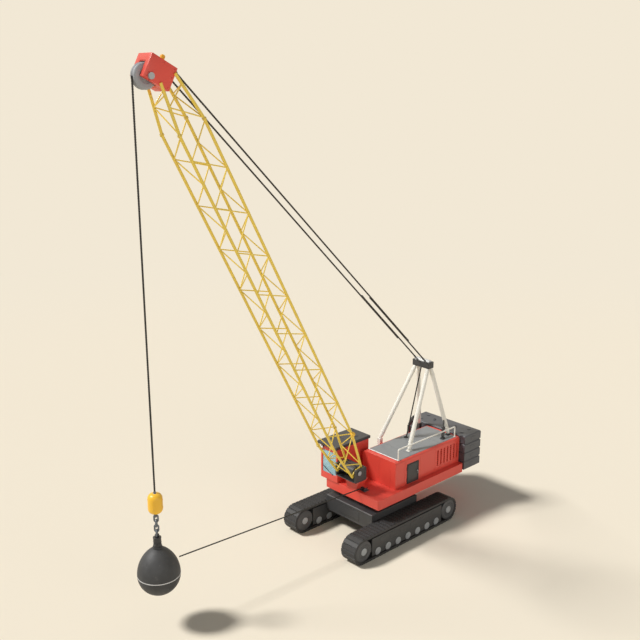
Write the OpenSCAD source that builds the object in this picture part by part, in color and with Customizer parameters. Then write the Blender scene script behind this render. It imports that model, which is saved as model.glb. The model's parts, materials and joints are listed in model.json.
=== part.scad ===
// Crawler crane with a lattice boom and a wrecking ball.
// Millimetres. +X is forward, +Y is the machine's left, +Z is up.
// The origin is the slewing centre, on the ground.

/* [Undercarriage] */
// Distance between the idler and sprocket centres
wheelbase = 5300; // [4400:10:6400]
// Distance between the centre lines of the two tracks
track_gauge = 3530; // [3000:10:4200]
// Width of a track shoe
shoe_w = 760; // [600:10:900]
// Height of a whole track, over its shoes
track_h = 1096; // [920:4:1320]
// Thickness of the chain links under the shoes
link_t = 70; // [56:1:86]
// Thickness of a shoe
shoe_t = 32; // [24:1:44]
// Number of shoe pitches between the wheel centres, an even number
flat_pitches = 26; // [20:2:32]
// Number of bottom rollers in a track frame
roller_count = 7; // [5:1:9]
// Distance between bottom rollers
roller_pitch = 610; // [500:5:720]
// Length of the body between the tracks
carbody_l = 2810; // [2300:10:3300]
// Height of the top of the body between the tracks
carbody_top = 1400; // [1250:5:1560]
// Depth of the body between the tracks
carbody_h = 700; // [560:5:840]
// Outer radius of the slewing ring
slew_r = 960; // [800:10:1150]

/* [Upper works] */
// Front end of the deck, ahead of the slewing centre
deck_front = 1250; // [1050:10:1450]
// Rear end of the deck, behind the slewing centre
deck_rear = 4270; // [3700:10:4900]
// Width of the deck
deck_w = 3150; // [2800:10:3500]
// Height of the underside of the deck
deck_bottom = 1640; // [1600:5:1900]
// Depth of the deck
deck_h = 426; // [340:2:510]
// Length of the engine house
house_l = 4250; // [3600:10:4400]
// Left side of the engine house, from the centre line
house_left = 1340; // [1200:10:1500]
// Right side of the engine house, from the centre line
house_right = 600; // [500:10:700]
// Height of the engine house above the deck
house_h = 1218; // [1000:2:1450]
// Thickness of the sheet walls with their frames
wall_t = 40; // [30:1:60]
// Radius of the upper edges of the engine house
house_edge_r = 110; // [80:5:150]
// Number of vent slots in the engine house
vent_count = 7; // [5:1:9]
// Height of the roof rail
rail_h = 500; // [400:10:650]
// Number of counterweight slabs
slab_count = 4; // [2:1:5]
// Height of one counterweight slab
slab_h = 410; // [330:5:490]
// Length of the counterweight
slab_l = 1150; // [950:10:1350]
// Width of the counterweight
slab_w = 3280; // [2900:10:3600]

/* [Cab] */
// Length of the cab
cab_l = 1900; // [1600:10:2100]
// Width of the cab
cab_w = 1020; // [900:10:1150]
// Height of the cab walls
cab_h = 1560; // [1450:10:1800]
// Left wall of the cab, right of the centre line
cab_inner = 800; // [720:10:900]
// Thickness of the cab roof
cab_roof_t = 130; // [90:5:160]

/* [Boom] */
// Angle of the boom above level
boom_angle = 61.84; // [50:0.01:72]
// Height of the boom foot pin
pivot_z = 3040; // [2900:10:3200]
// Boom foot pin ahead of the slewing centre
pivot_x = 1400; // [1300:10:1500]
// Length of the tapered foot section
foot_l = 1750; // [1500:10:2000]
// Length of one lacing bay
bay_l = 1796; // [1500:4:2100]
// Number of lacing bays in the straight part
bay_count = 8; // [4:1:10]
// Length of the tapered tip section
tip_l = 1662; // [1400:2:1950]
// Width of the boom, between chord centres
boom_w = 1006; // [850:2:1010]
// Depth of the boom, between chord centres
boom_d = 1082; // [900:2:1250]
// Radius of a chord tube
chord_r = 52; // [44:1:60]
// Radius of a lacing tube
lace_r = 22; // [18:1:26]
// Radius of the head sheave
sheave_r = 412; // [340:4:450]
// Width of the head sheave
sheave_w = 300; // [240:5:360]
// Width of the boom head
head_w = 778; // [700:2:840]

/* [Gantry] */
// Height of the gantry head block
gantry_top = 6825; // [6000:5:7600]
// Front face of the gantry head block, behind the slewing centre
gantry_back = 3000; // [2600:10:3400]
// Front leg feet behind the slewing centre
leg_front_x = 1390; // [1200:10:1600]
// Rear leg feet behind the slewing centre
leg_rear_x = 4050; // [3850:5:4100]
// Distance between the feet of a pair of legs
leg_spread = 1720; // [1500:10:1900]
// Radius of a front leg
leg_r = 82; // [65:1:95]

/* [Ball] */
// Radius of the ball
ball_r = 757; // [630:1:900]
// Height of the ball's centre above the ground
ball_z = 2024; // [1700:4:2500]
// Height of the ball's crown above its centre
ball_up = 1020; // [940:5:1100]
// Length of a chain link inside
link_in = 242; // [200:1:290]
// Radius of the chain wire
link_wire = 24; // [20:1:28]
// Number of chain links, an even number
link_count = 4; // [2:2:6]
// Height of the hook block
block_h = 750; // [620:5:900]
// Radius of the hook block
block_r = 237; // [200:1:285]

/* [Hidden] */
$fn = 48;
eps = 1;                       // how far a cutter runs past a face
seat = 0.3;                    // gap between pieces that rest on each other
fit = 0.05;                    // radial gap of a pin in its bore
run = 10;                      // gap beside a moving piece

// undercarriage
track_y = track_gauge / 2;
end_r = track_h / 2;           // a track's end, over its shoes
belt_t = link_t + shoe_t;
rim_r = end_r - belt_t - seat; // idler and sprocket discs
frame_w = shoe_w - 24;
cap_t = 16;                     // roller caps on the frame's side
hub_t = 22;                     // wheel hubs on the frame's side
hub_r = 185;
lug_t = 60;                     // tow lugs behind the carbody
lug_y = 500;
lug_bore_r = 35;
frame_plate = 35;
frame_half = wheelbase / 2 - rim_r - 30;
frame_low = belt_t + 60;
frame_top = track_h - belt_t - 60;
roller_r = 185;
roller_z = belt_t + roller_r + seat;
cap_r = 155;
carbody_w = 2 * (track_y - shoe_w / 2 - 20);
stub_low = roller_z + cap_r + 20;
ring_h = deck_bottom - carbody_top;
race_r = slew_r - 130;

// upper works
deck_top = deck_bottom + deck_h;
house_front = deck_rear - house_l;     // distance behind the slewing centre
house_top = deck_top + house_h;
house_mid = (house_left - house_right) / 2;
roof_z = house_top;
tank_top = deck_top + 480;
roof_t = 16;
slab_gap = seat;
slab_low = deck_bottom + 80;
cab_front = deck_front + 60;
cab_top = deck_top + cab_h;
cab_y = -cab_inner - cab_w / 2;
cab_wall = 45;
door_front_x = cab_front - 700;
door_l = 900;
door_low = 60;
glass_t = 8;

// boom
rope_r = 30;
half_w = boom_w / 2;
half_d = boom_d / 2;
straight_end = foot_l + bay_l * bay_count;
tip_end = straight_end + tip_l;
foot_w = half_w - 56;
foot_d = 300;
tip_w = head_w / 2;
tip_up = 348;
tip_down = 256;
tip_cut = straight_end + tip_l * 0.784; // from here the chords lie on the head's cheeks
lace_off = 46;                 // lacing keeps this far from a joint between sections
lace_foot = 180;               // and starts this far from the foot pin
foot_pin_r = 60;
foot_plate = 36;
foot_boss_in = 60;             // how far a foot boss reaches inward of its plate
foot_cap_t = 24;
foot_drum_r = 200;
axle_r = 60;
axle_cap_r = 105;
axle_cap_t = 70;
head_plate = 28;
head_turn = 34.5;
head_l = 987;
head_h = 770;
head_toe = [1060, -80];        // lower front corner
head_nose = [476, -238];
head_axle = [767, 120];        // from the head's lower rear corner
head_x = straight_end + 1995;  // head axle along the boom
head_n = -459;                 // and across it
cheek_in = foot_w + chord_r + 20;
cheek_t = 81;
cheek_out = cheek_in + cheek_t;
foot_swing = foot_d + chord_r + run;
bracket_rear = pivot_x - 420;
bracket_front = pivot_x + 220;
bracket_low = pivot_z - 410;
bracket_high = pivot_z + 170;
foot_seat_y = 300;             // half width of the bracket's pedestal, as far up as its knee
foot_knee = 190;

// points in the machine's frame
head_pos = [pivot_x + head_x * cos(boom_angle) - head_n * sin(boom_angle), 0,
            pivot_z + head_x * sin(boom_angle) + head_n * cos(boom_angle)];
stay_r = 28;
stay_y = tip_w - chord_r - stay_r - 9;
stay_lug_t = 16;
stay_eye_head = [-30, head_h - 120];   // in the head's own frame
stay_eye_s = head_x + (stay_eye_head[0] - head_axle[0]) * cos(head_turn)
    + (stay_eye_head[1] - head_axle[1]) * sin(head_turn);
stay_eye_n = head_n - (stay_eye_head[0] - head_axle[0]) * sin(head_turn)
    + (stay_eye_head[1] - head_axle[1]) * cos(head_turn);
stay_eye = [pivot_x + stay_eye_s * cos(boom_angle) - stay_eye_n * sin(boom_angle), stay_y,
            pivot_z + stay_eye_s * sin(boom_angle) + stay_eye_n * cos(boom_angle)];
groove_r = sheave_r - 34;       // bottom of the rope groove
groove_round = 60;
fall_x = head_pos[0] + groove_r + rope_r + seat;

// gantry
gantry_w = 930;
gantry_l = 330;
gantry_h = 275;
gantry_low = gantry_top - gantry_h;
foot_z = roof_z + roof_t + 70;

// luffing ropes, which run beside the stays
luff_rope_r = 28;
luff_rope_y = stay_y - stay_r - luff_rope_r - 8;
luff_rope_low = [-gantry_back - 30, 0, gantry_top + 40];
luff_rope_l = 5000;
stay_short = 1700;             // from a stay's lower end to the gantry head

// ball
neck_r = 140;
neck_z = ball_z + ball_up + 50;
collar_top = neck_z + 330;
pin_r = 28;
link_gap = 0.3;
link_step = link_in - link_gap;
lower_pin_z = collar_top + 80;
upper_pin_z = lower_pin_z + link_in + (link_count - 1) * link_step - 2 * pin_r - 2 * link_gap;
block_round = 165;
block_low = upper_pin_z - 70;
block_top = block_low + block_h;

// ---- helpers ----

// a round tube between two points
module strut(a, b, r) {
    d = b - a;
    translate(a)
        rotate([0, acos(d[2] / norm(d)), atan2(d[1], d[0])]) rotate([0, 0, 18])
            cylinder(h = norm(d), r = r);
}

// a plate across the machine from y0 to y1, cut to an outline in X and Z
module plate_y(y0, y1) {
    translate([0, y1, 0]) rotate([90, 0, 0]) linear_extrude(y1 - y0) children();
}

// a round bar across the machine from y0 to y1
module bar_y(x, z, y0, y1, r) {
    translate([x, y0, z]) rotate([-90, 0, 0]) cylinder(h = y1 - y0, r = r);
}

module box(low, high) {
    translate(low) cube(high - low);
}

// a box with its upper edges cut at c, and its lower ones too where low_c is given
module chamfered(low, high, c, low_c = 0) {
    intersection() {
        plate_y(low[1], high[1])
            polygon([[low[0] + low_c, low[2]], [low[0], low[2] + low_c], [low[0], high[2] - c],
                     [low[0] + c, high[2]], [high[0] - c, high[2]], [high[0], high[2] - c],
                     [high[0], low[2] + low_c], [high[0] - low_c, low[2]]]);
        translate([low[0], 0, 0]) rotate([90, 0, 90]) linear_extrude(high[0] - low[0])
            polygon([[low[1] + low_c, low[2]], [low[1], low[2] + low_c], [low[1], high[2] - c],
                     [low[1] + c, high[2]], [high[1] - c, high[2]], [high[1], high[2] - c],
                     [high[1], low[2] + low_c], [high[1] - low_c, low[2]]]);
    }
}

// both sides of the machine
module both_sides() {
    children();
    mirror([0, 1, 0]) children();
}

// the boom's frame: X along the boom from the foot pin, Z away from the belly
module in_boom() {
    translate([pivot_x, 0, pivot_z]) rotate([0, -boom_angle, 0]) children();
}

// ---- undercarriage ----

// A shoe stands under each wheel centre, so that none reaches below the ground
chain_r = end_r - shoe_t;
shoe_pitch = wheelbase / flat_pitches;
end_pitches = round(PI * chain_r / shoe_pitch);
shoe_foot = min(shoe_pitch / 2, chain_r * tan(90 / end_pitches)) - 8;
shoe_crown = shoe_foot - 14;
half_base = wheelbase / 2;

// Middle and heading of each shoe, clockwise from the upper rear
shoe_places = concat(
    [for (i = [0 : flat_pitches]) [-half_base + i * shoe_pitch, end_r + chain_r, 0]],
    [for (i = [1 : end_pitches - 1]) let (a = i * 180 / end_pitches)
        [half_base + chain_r * sin(a), end_r + chain_r * cos(a), -a]],
    [for (i = [0 : flat_pitches]) [half_base - i * shoe_pitch, end_r - chain_r, -180]],
    [for (i = [1 : end_pitches - 1]) let (a = i * 180 / end_pitches)
        [-half_base - chain_r * sin(a), end_r - chain_r * cos(a), -180 - a]]);

// One shoe's corners: foot, crown, crown, foot, seen from the left
function shoe_points(p) =
    [for (c = [[-shoe_foot, 0], [-shoe_crown, shoe_t], [shoe_crown, shoe_t], [shoe_foot, 0]])
        [p[0] + c[0] * cos(p[2]) - c[1] * sin(p[2]), p[1] + c[0] * sin(p[2]) + c[1] * cos(p[2])]];

module track_loop(y) {
    color("#3d3e40") difference() {
        plate_y(y - shoe_w / 2, y + shoe_w / 2)
            polygon([for (p = shoe_places) each shoe_points(p)]);
        for (x = [-half_base, half_base])
            bar_y(x, end_r, y - shoe_w / 2 - eps, y + shoe_w / 2 + eps, end_r - belt_t);
        box([-half_base, y - shoe_w / 2 - eps, belt_t],
            [half_base, y + shoe_w / 2 + eps, track_h - belt_t]);
    }
}

module track_frame(y) {
    color("#434548") difference() {
        box([-frame_half, y - frame_w / 2, frame_low], [frame_half, y + frame_w / 2, frame_top]);
        box([-frame_half - eps, y - frame_w / 2 + frame_plate, frame_low - eps],
            [frame_half + eps, y + frame_w / 2 - frame_plate, roller_z + roller_r + 30]);
    }
}

module left_track() { track_loop(track_y); }
module right_track() { track_loop(-track_y); }
module left_track_frame() { track_frame(track_y); }
module right_track_frame() { track_frame(-track_y); }

module track_rollers() {
    color("#8b8d90") both_sides()
        for (i = [0 : roller_count - 1]) {
            x = (i - (roller_count - 1) / 2) * roller_pitch;
            bar_y(x, roller_z, track_y - frame_w / 2 + frame_plate,
                  track_y + frame_w / 2 - frame_plate, roller_r);
            bar_y(x, roller_z, track_y + frame_w / 2, track_y + frame_w / 2 + cap_t, cap_r);
            bar_y(x, roller_z, track_y - frame_w / 2 - cap_t, track_y - frame_w / 2, cap_r);
        }
}

module end_wheel(x) {
    bar_y(x, end_r, track_y - frame_w / 2, track_y + frame_w / 2, rim_r);
    bar_y(x, end_r, track_y + frame_w / 2 - eps, track_y + frame_w / 2 + hub_t, hub_r);
}

module idler_wheels() { color("#4a4c4f") both_sides() end_wheel(half_base); }
module drive_sprockets() { color("#4a4c4f") both_sides() end_wheel(-half_base); }

module carbody() {
    low = carbody_top - carbody_h;
    stub_x = carbody_l / 4;
    stub_l = 300;
    lug_z = carbody_top - 150;
    color("#4b4d50") difference() {
        union() {
            chamfered([-carbody_l / 2, -carbody_w / 2, low],
                      [carbody_l / 2, carbody_w / 2, carbody_top], 22);
            both_sides() for (x = [-stub_x, stub_x]) {
                box([x - stub_l, carbody_w / 2 - eps, stub_low],
                    [x + stub_l, track_y - frame_w / 2, frame_top - 60]);
                box([x - stub_l, carbody_w / 2 - stub_l, stub_low], [x + stub_l, carbody_w / 2, low + eps]);
            }
            both_sides() plate_y(lug_y, lug_y + lug_t)
                polygon([[-carbody_l / 2 + 30, lug_z - 100], [-carbody_l / 2 - 100, lug_z - 75],
                         [-carbody_l / 2 - 140, lug_z], [-carbody_l / 2 - 100, lug_z + 75],
                         [-carbody_l / 2 + 30, lug_z + 100]]);
        }
        both_sides() bar_y(-carbody_l / 2 - 75, lug_z, lug_y - eps, lug_y + lug_t + eps, lug_bore_r);
        translate([0, 0, low - eps]) cylinder(h = carbody_h + 2 * eps, r = race_r - 200);
    }
}

module slew_ring() {
    color("#6b6d70") translate([0, 0, carbody_top]) difference() {
        cylinder(h = ring_h - run, r = slew_r);
        translate([0, 0, -eps]) cylinder(h = ring_h + 2 * eps, r = race_r);
    }
}

// ---- upper works ----

module deck() {
    c = 45;                        // cut at the deck's front corners
    w = deck_w / 2;
    keel = 900;                    // half width of the beam under the counterweight
    hole_l = 1050;                 // two open bays on each side of the frame below
    color("#c0392b") difference() {
        union() {
            translate([0, 0, deck_bottom]) linear_extrude(deck_h)
                polygon([[-deck_rear, -w], [deck_front - c, -w], [deck_front, c - w],
                         [deck_front, w - c], [deck_front - c, w], [-deck_rear, w]]);
            translate([0, 0, carbody_top + run]) cylinder(h = ring_h, r = race_r - seat);
            box([-deck_rear - slab_l * 0.8, -keel, deck_bottom - 40],
                [-deck_rear + 400, keel, slab_low - seat]);
            translate([bracket_rear - 200, 0, 0]) rotate([90, 0, 90])
                linear_extrude(deck_front - bracket_rear + 190)
                    polygon([[-foot_seat_y, deck_top - eps], [foot_seat_y, deck_top - eps],
                             [foot_seat_y, deck_top + foot_knee], [cheek_in, bracket_low - seat],
                             [-cheek_in, bracket_low - seat], [-foot_seat_y, deck_top + foot_knee]]);
        }
        translate([0, 0, carbody_top]) cylinder(h = ring_h + deck_h - 40, r = race_r - 260);
        both_sides() for (x = [-deck_rear + 250, -deck_rear + 1500])
            box([x, 120, deck_bottom - eps - 60], [x + hole_l, w - 120, deck_top - 30]);
    }
}

// The house's cross-section, with round upper edges
module house_outline(inset) {
    l = -house_right + inset;
    r = house_left - inset;
    top = house_top - inset;
    er = house_edge_r - inset;
    union() {
        translate([l, deck_top]) square([r - l, top - deck_top - er]);
        translate([l + er, deck_top]) square([r - l - 2 * er, top - deck_top]);
        translate([l + er, top - er]) circle(r = er);
        translate([r - er, top - er]) circle(r = er);
    }
}

module house_prism(inset, x0, x1) {
    translate([x0, 0, 0]) rotate([90, 0, 90]) linear_extrude(x1 - x0) house_outline(inset);
}

door_x = -740;                 // front edge of the house door
house_door_l = 760;
house_door_h = 930;
vent_x = -2780;
vent_pitch = 222;
rope_slot = [-2400, -200];
hinge_r = 14;                  // door hinge barrels
hinge_off = 12;                // from a door's edge to its hinge

module engine_house() {
    color("#c0392b") difference() {
        house_prism(0, -deck_rear, -house_front);
        translate([0, 0, -eps]) house_prism(wall_t, -deck_rear + wall_t, -house_front - wall_t);
        box([door_x - house_door_l, house_left - wall_t - eps, deck_top + 20],
            [door_x, house_left + eps, deck_top + 20 + house_door_h]);
        for (i = [0 : vent_count - 1])
            box([vent_x - i * vent_pitch - 40, house_left - wall_t - eps, deck_top + 270],
                [vent_x - i * vent_pitch + 40, house_left + eps, deck_top + 980]);
        box([rope_slot[0] - 120, rope_slot[1] - 60, house_top - wall_t - eps],
            [rope_slot[0] + 120, rope_slot[1] + 60, house_top + eps]);
    }
}

module house_door() {
    edge = door_x - run / 2;
    low = deck_top + 20 + run / 2;
    color("#4b4f52") union() {
        box([door_x - house_door_l + run / 2, house_left - wall_t, low],
            [edge, house_left, low + house_door_h - run]);
        for (z = [low + 130, low + house_door_h - 280]) {
            bar_z(edge + hinge_off, house_left + seat + hinge_r, z, z + 150, hinge_r);
            box([edge - 40, house_left + seat, z], [edge + hinge_off, house_left + seat + hinge_r, z + 150]);
            box([edge - 40, house_left - eps, z], [edge - 5, house_left + seat + hinge_r, z + 150]);
        }
    }
}

module bar_z(x, y, z0, z1, r) {
    translate([x, y, z0]) cylinder(h = z1 - z0, r = r);
}

module roof_plate() {
    color("#909396") difference() {
        box([-deck_rear + 140, -house_right + 130, roof_z],
            [-house_front - 240, house_left - 100, roof_z + roof_t]);
        box([rope_slot[0] - 90, rope_slot[1] - 30, roof_z - eps],
            [rope_slot[0] + 90, rope_slot[1] + 30, roof_z + roof_t + eps]);
    }
}

rail_r = 24;

module roof_rail() {
    y = house_left - 130;
    x0 = -house_front - 290;
    x1 = -deck_rear + 190;
    color("#efeadd") union() {
        for (x = [x0, x1]) strut([x, y, roof_z + roof_t], [x, y, roof_z + rail_h], rail_r);
        strut([x0 + rail_r, y, roof_z + rail_h], [x1 - rail_r, y, roof_z + rail_h], rail_r);
    }
}

engine_size = [1600, 900, 850];

// one plain block behind the rope slot
module engine() {
    color("#5b5e61") translate([rope_slot[0] - 1300, -150, deck_top]) cube(engine_size);
}

module counterweight_slabs() {
    front = -deck_rear - 30;
    color("#606468") for (i = [0 : slab_count - 1])
        chamfered([front - slab_l, -slab_w / 2, slab_low + i * slab_h],
                  [front, slab_w / 2, slab_low + (i + 1) * slab_h - slab_gap], 40, 40);
}

module tank_unit() {
    color("#c0392b")
        box([-deck_rear + 60, -deck_w / 2 + 30, deck_top], [-leg_front_x - 170, -house_right - 40, tank_top]);
}

// Two cheeks with a floor and a rear wall between them, and a ledge behind the foot shaft
module boom_foot_bracket() {
    slot_in = foot_w - chord_r - 25;
    top_t = 34;
    c = 30;
    color("#44474a") difference() {
        union() {
            both_sides() plate_y(cheek_in, cheek_out)
                polygon([[bracket_rear + c, bracket_low], [bracket_front - c, bracket_low],
                         [bracket_front, bracket_low + c], [bracket_front, bracket_high - c],
                         [bracket_front - c, bracket_high], [bracket_rear + c, bracket_high],
                         [bracket_rear, bracket_high - c], [bracket_rear, bracket_low + c]]);
            box([bracket_rear + 5, -cheek_in - eps, bracket_low],
                [bracket_front - 5, cheek_in + eps, pivot_z - foot_swing - 5]);
            box([bracket_rear + 5, -cheek_in - eps, bracket_low + 5],
                [pivot_x - foot_swing - 5, cheek_in + eps, bracket_high - 5]);
            box([bracket_rear + 5, -slot_in, bracket_high - 5 - top_t],
                [pivot_x - foot_drum_r + 30, slot_in, bracket_high - 5]);
        }
        bar_y(pivot_x, pivot_z, -cheek_out - eps, cheek_out + eps, foot_pin_r + fit);
    }
}

// The foot shaft turns with the boom: a drum between its bosses, a pin through each cheek, a cap outside
module boom_foot_pin() {
    drum = foot_w - foot_boss_in - seat;
    color("#44474a") union() {
        bar_y(pivot_x, pivot_z, -cheek_out - foot_cap_t, cheek_out + foot_cap_t, foot_pin_r);
        bar_y(pivot_x, pivot_z, -drum, drum, foot_drum_r);
        both_sides() bar_y(pivot_x, pivot_z, cheek_out + 2, cheek_out + foot_cap_t, foot_pin_r + 35);
    }
}

// ---- cab ----

windscreen_low = 270;
windscreen_high = 1335;
window_inset = 90;

module cab_shell() {
    x0 = cab_front - cab_l;
    x1 = cab_front;
    y0 = cab_y - cab_w / 2;
    y1 = cab_y + cab_w / 2;
    color("#c0392b") difference() {
        box([x0, y0, deck_top], [x1, y1, cab_top]);
        box([x0 + cab_wall, y0 + cab_wall, deck_top + cab_wall],
            [x1 - cab_wall, y1 - cab_wall, cab_top + eps]);
        box([x1 - cab_wall - eps, y0 + window_inset, deck_top + windscreen_low],
            [x1 + eps, y1 - window_inset, deck_top + windscreen_high]);
        box([door_front_x - door_l, y0 - eps, deck_top + door_low],
            [door_front_x, y0 + cab_wall + eps, cab_top - 60]);
        box([door_front_x + 120, y0 - eps, deck_top + 560],
            [x1 - 120, y0 + cab_wall + eps, deck_top + windscreen_high]);
        box([x0 - eps, y0 + 160, deck_top + 700],
            [x0 + cab_wall + eps, y1 - 160, deck_top + windscreen_high]);
    }
}

module cab_roof() {
    color("#3f4245")
        chamfered([cab_front - cab_l - 50, cab_y - cab_w / 2 - 100, cab_top],
                  [cab_front + 120, cab_y + cab_w / 2 + 60, cab_top + cab_roof_t], 18);
}

module windscreen() {
    y0 = cab_y - cab_w / 2;
    y1 = cab_y + cab_w / 2;
    color("#a9d3dd") box([cab_front - 30, y0 + window_inset + seat, deck_top + windscreen_low + seat],
                         [cab_front - 30 + glass_t, y1 - window_inset - seat,
                          deck_top + windscreen_high - seat]);
}

module cab_windows() {
    x0 = cab_front - cab_l;
    y0 = cab_y - cab_w / 2;
    y1 = cab_y + cab_w / 2;
    color("#a9d3dd") box([door_front_x + 120 + seat, y0 + 15, deck_top + 560 + seat],
                         [cab_front - 120 - seat, y0 + 15 + glass_t, deck_top + windscreen_high - seat]);
    color("#a9d3dd") box([x0 + 15, y0 + 160 + seat, deck_top + 700 + seat],
                         [x0 + 15 + glass_t, y1 - 160 - seat, deck_top + windscreen_high - seat]);
}

module cab_seat() {
    x = cab_front - cab_l + 500;
    color("#33363a") union() {
        box([x - 180, cab_y - 180, deck_top + cab_wall], [x + 180, cab_y + 180, deck_top + 330]);
        box([x - 260, cab_y - 250, deck_top + 320], [x + 260, cab_y + 250, deck_top + 450]);
        box([x - 330, cab_y - 230, deck_top + 400], [x - 230, cab_y + 230, deck_top + 1080]);
    }
}

module cab_door() {
    y0 = cab_y - cab_w / 2;
    rear = door_front_x - door_l + run / 2;
    color("#c0392b") difference() {
        union() {
            box([rear, y0, deck_top + door_low + run / 2],
                [door_front_x - run / 2, y0 + cab_wall, cab_top - 60 - run / 2]);
            for (z = [deck_top + 250, cab_top - 400]) {
                bar_z(rear - hinge_off, y0 - seat - hinge_r, z, z + 150, hinge_r);
                box([rear - hinge_off, y0 - seat - hinge_r, z], [rear + 40, y0 - seat, z + 150]);
                box([rear + 5, y0 - seat - hinge_r, z], [rear + 40, y0 + eps, z + 150]);
            }
        }
        box([door_front_x - door_l + 110, y0 - 100, deck_top + 560],
            [door_front_x - 110, y0 + cab_wall + eps, cab_top - 170]);
    }
}

module cab_door_glass() {
    y0 = cab_y - cab_w / 2;
    color("#a9d3dd") box([door_front_x - door_l + 110 + seat, y0 + 15, deck_top + 560 + seat],
                         [door_front_x - 110 - seat, y0 + 15 + glass_t, cab_top - 170 - seat]);
}

module fairlead() {
    color("#55585b") union() {
        box([deck_front - 420, 330, deck_top], [deck_front - 240, 500, deck_top + 40]);
        bar_y(deck_front - 290, deck_top + 82, 340, 490, 34);
        for (y = [330, 480]) box([deck_front - 330, y, deck_top], [deck_front - 250, y + 20, deck_top + 125]);
    }
}

// ---- gantry ----

cylinder_foot = [-3410, 1120];
leg_y = leg_spread / 2;
leg_top_y = 350;
rear_leg_r = leg_r - 8;
front_top = [-gantry_back - 80, leg_top_y, gantry_low];
rear_top = [-gantry_back - gantry_l + 70, leg_top_y, gantry_low];
front_foot = [-leg_front_x, leg_y, foot_z];
rear_foot = [-leg_rear_x, leg_y, foot_z];
rod_share = 0.2;               // where the rod meets the rear leg
rod_end = rear_foot + (rear_top - rear_foot) * rod_share;
barrel_foot = [cylinder_foot[0], cylinder_foot[1], foot_z];
barrel_share = 0.72;
barrel_end = barrel_foot + (rod_end - barrel_foot) * barrel_share;

// a pair of tubes between two points, cut level at foot_z and under the head
module leg_pair(a, b, r) {
    d = (b - a) / norm(b - a) * 200;
    intersection() {
        both_sides() strut(a - d, b + d, r);
        box([-deck_rear - 500, -2000, foot_z + seat], [0, 2000, gantry_low - seat]);
    }
}

module gantry_pedestals() {
    color("#44474a") for (p = [front_foot, rear_foot, barrel_foot]) {
        on_tank = p[0] < -leg_front_x - 1;
        box([p[0] - 110, p[1] - 100, roof_z + roof_t], [p[0] + 110, p[1] + 100, foot_z]);
        box([p[0] - 90, -p[1] - 90, on_tank ? tank_top : deck_top], [p[0] + 90, -p[1] + 90, foot_z]);
    }
}

module gantry_front_legs() { color("#ece8dc") leg_pair(front_foot, front_top, leg_r); }
module gantry_rear_legs() { color("#ece8dc") leg_pair(rear_foot, rear_top, rear_leg_r); }

module gantry_cylinders() {
    color("#2b2c2e") difference() {
        intersection() {
            both_sides() union() {
                strut(barrel_foot - (barrel_end - barrel_foot) / 2, barrel_end, 75);
                strut(barrel_end, rod_end, 34);
            }
            box([-deck_rear - 500, -2000, foot_z + seat], [0, 2000, gantry_low]);
        }
        both_sides() strut(rear_foot - (rear_top - rear_foot) / 4, rear_top, rear_leg_r + seat);
    }
}

module gantry_head() {
    color("#3c3f42") difference() {
        union() {
            box([-gantry_back - gantry_l, -gantry_w / 2, gantry_low],
                [-gantry_back, gantry_w / 2, gantry_top]);
            both_sides() box([-gantry_back - 60, luff_rope_y - luff_rope_r - seat - 16, gantry_top - 60],
                             [-gantry_back, luff_rope_y - luff_rope_r - seat, gantry_top + 75]);
        }
        box([-gantry_back - gantry_l + 30, -gantry_w / 2 + 60, gantry_low + 30],
            [-gantry_back - 30, gantry_w / 2 - 60, gantry_top + 100]);
    }
}

// four rope sheaves on an axle between the head's cheeks
module gantry_sheaves() {
    x = -gantry_back - gantry_l / 2;
    z = gantry_top - 90;
    reach = gantry_w / 2 - 60 - seat;
    color("#c9cbcc") union() {
        bar_y(x, z, -reach, reach, 30);
        for (i = [-1.5 : 1 : 1.5])
            bar_y(x, z, i * 150 - 40, i * 150 + 40, 100);
    }
}

// ---- boom ----

// The four chords: across the boom and away from its belly
chords = [[1, 1], [-1, 1], [-1, -1], [1, -1]];
function straight_at(s, c) = [s, c[0] * half_w, c[1] * half_d];
function foot_at(c) = [0, c[0] * foot_w, c[1] * foot_d];
function tip_at(c) = [tip_end, c[0] * tip_w, c[1] > 0 ? tip_up : -tip_down];

// a point on a chord's centre line, s along the boom
function between(a, b, t) = a + (b - a) * t;
function chord_at(s, c) =
    s < foot_l ? between(foot_at(c), straight_at(foot_l, c), s / foot_l)
    : s > straight_end ? between(straight_at(straight_end, c), tip_at(c), (s - straight_end) / tip_l)
    : straight_at(s, c);

// One strut of the zigzag on a face, over half bay k; half bays count from the foot section's end
module lace(face, k, after = 0, before = 0) {
    a = chords[face];
    b = chords[(face + 1) % 4];
    even = (floor(face / 2) + k + 4) % 2 == 0;
    s = foot_l + k * bay_l / 2;
    strut(chord_at(s + after, even ? a : b), chord_at(s + bay_l / 2 - before, even ? b : a), lace_r);
}

last_lace = 2 * bay_count - 1;

module boom_main_section() {
    color("#d9b740") in_boom() {
        for (c = chords)
            strut(straight_at(foot_l, c), straight_at(straight_end, c), chord_r);
        for (k = [0 : last_lace])
            union() for (f = [0 : 3])
                lace(f, k, k == 0 ? lace_off : 0, k == last_lace ? lace_off : 0);
    }
}

// a point past b on the line from a
function past(a, b, d) = b + (b - a) / norm(b - a) * d;

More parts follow.
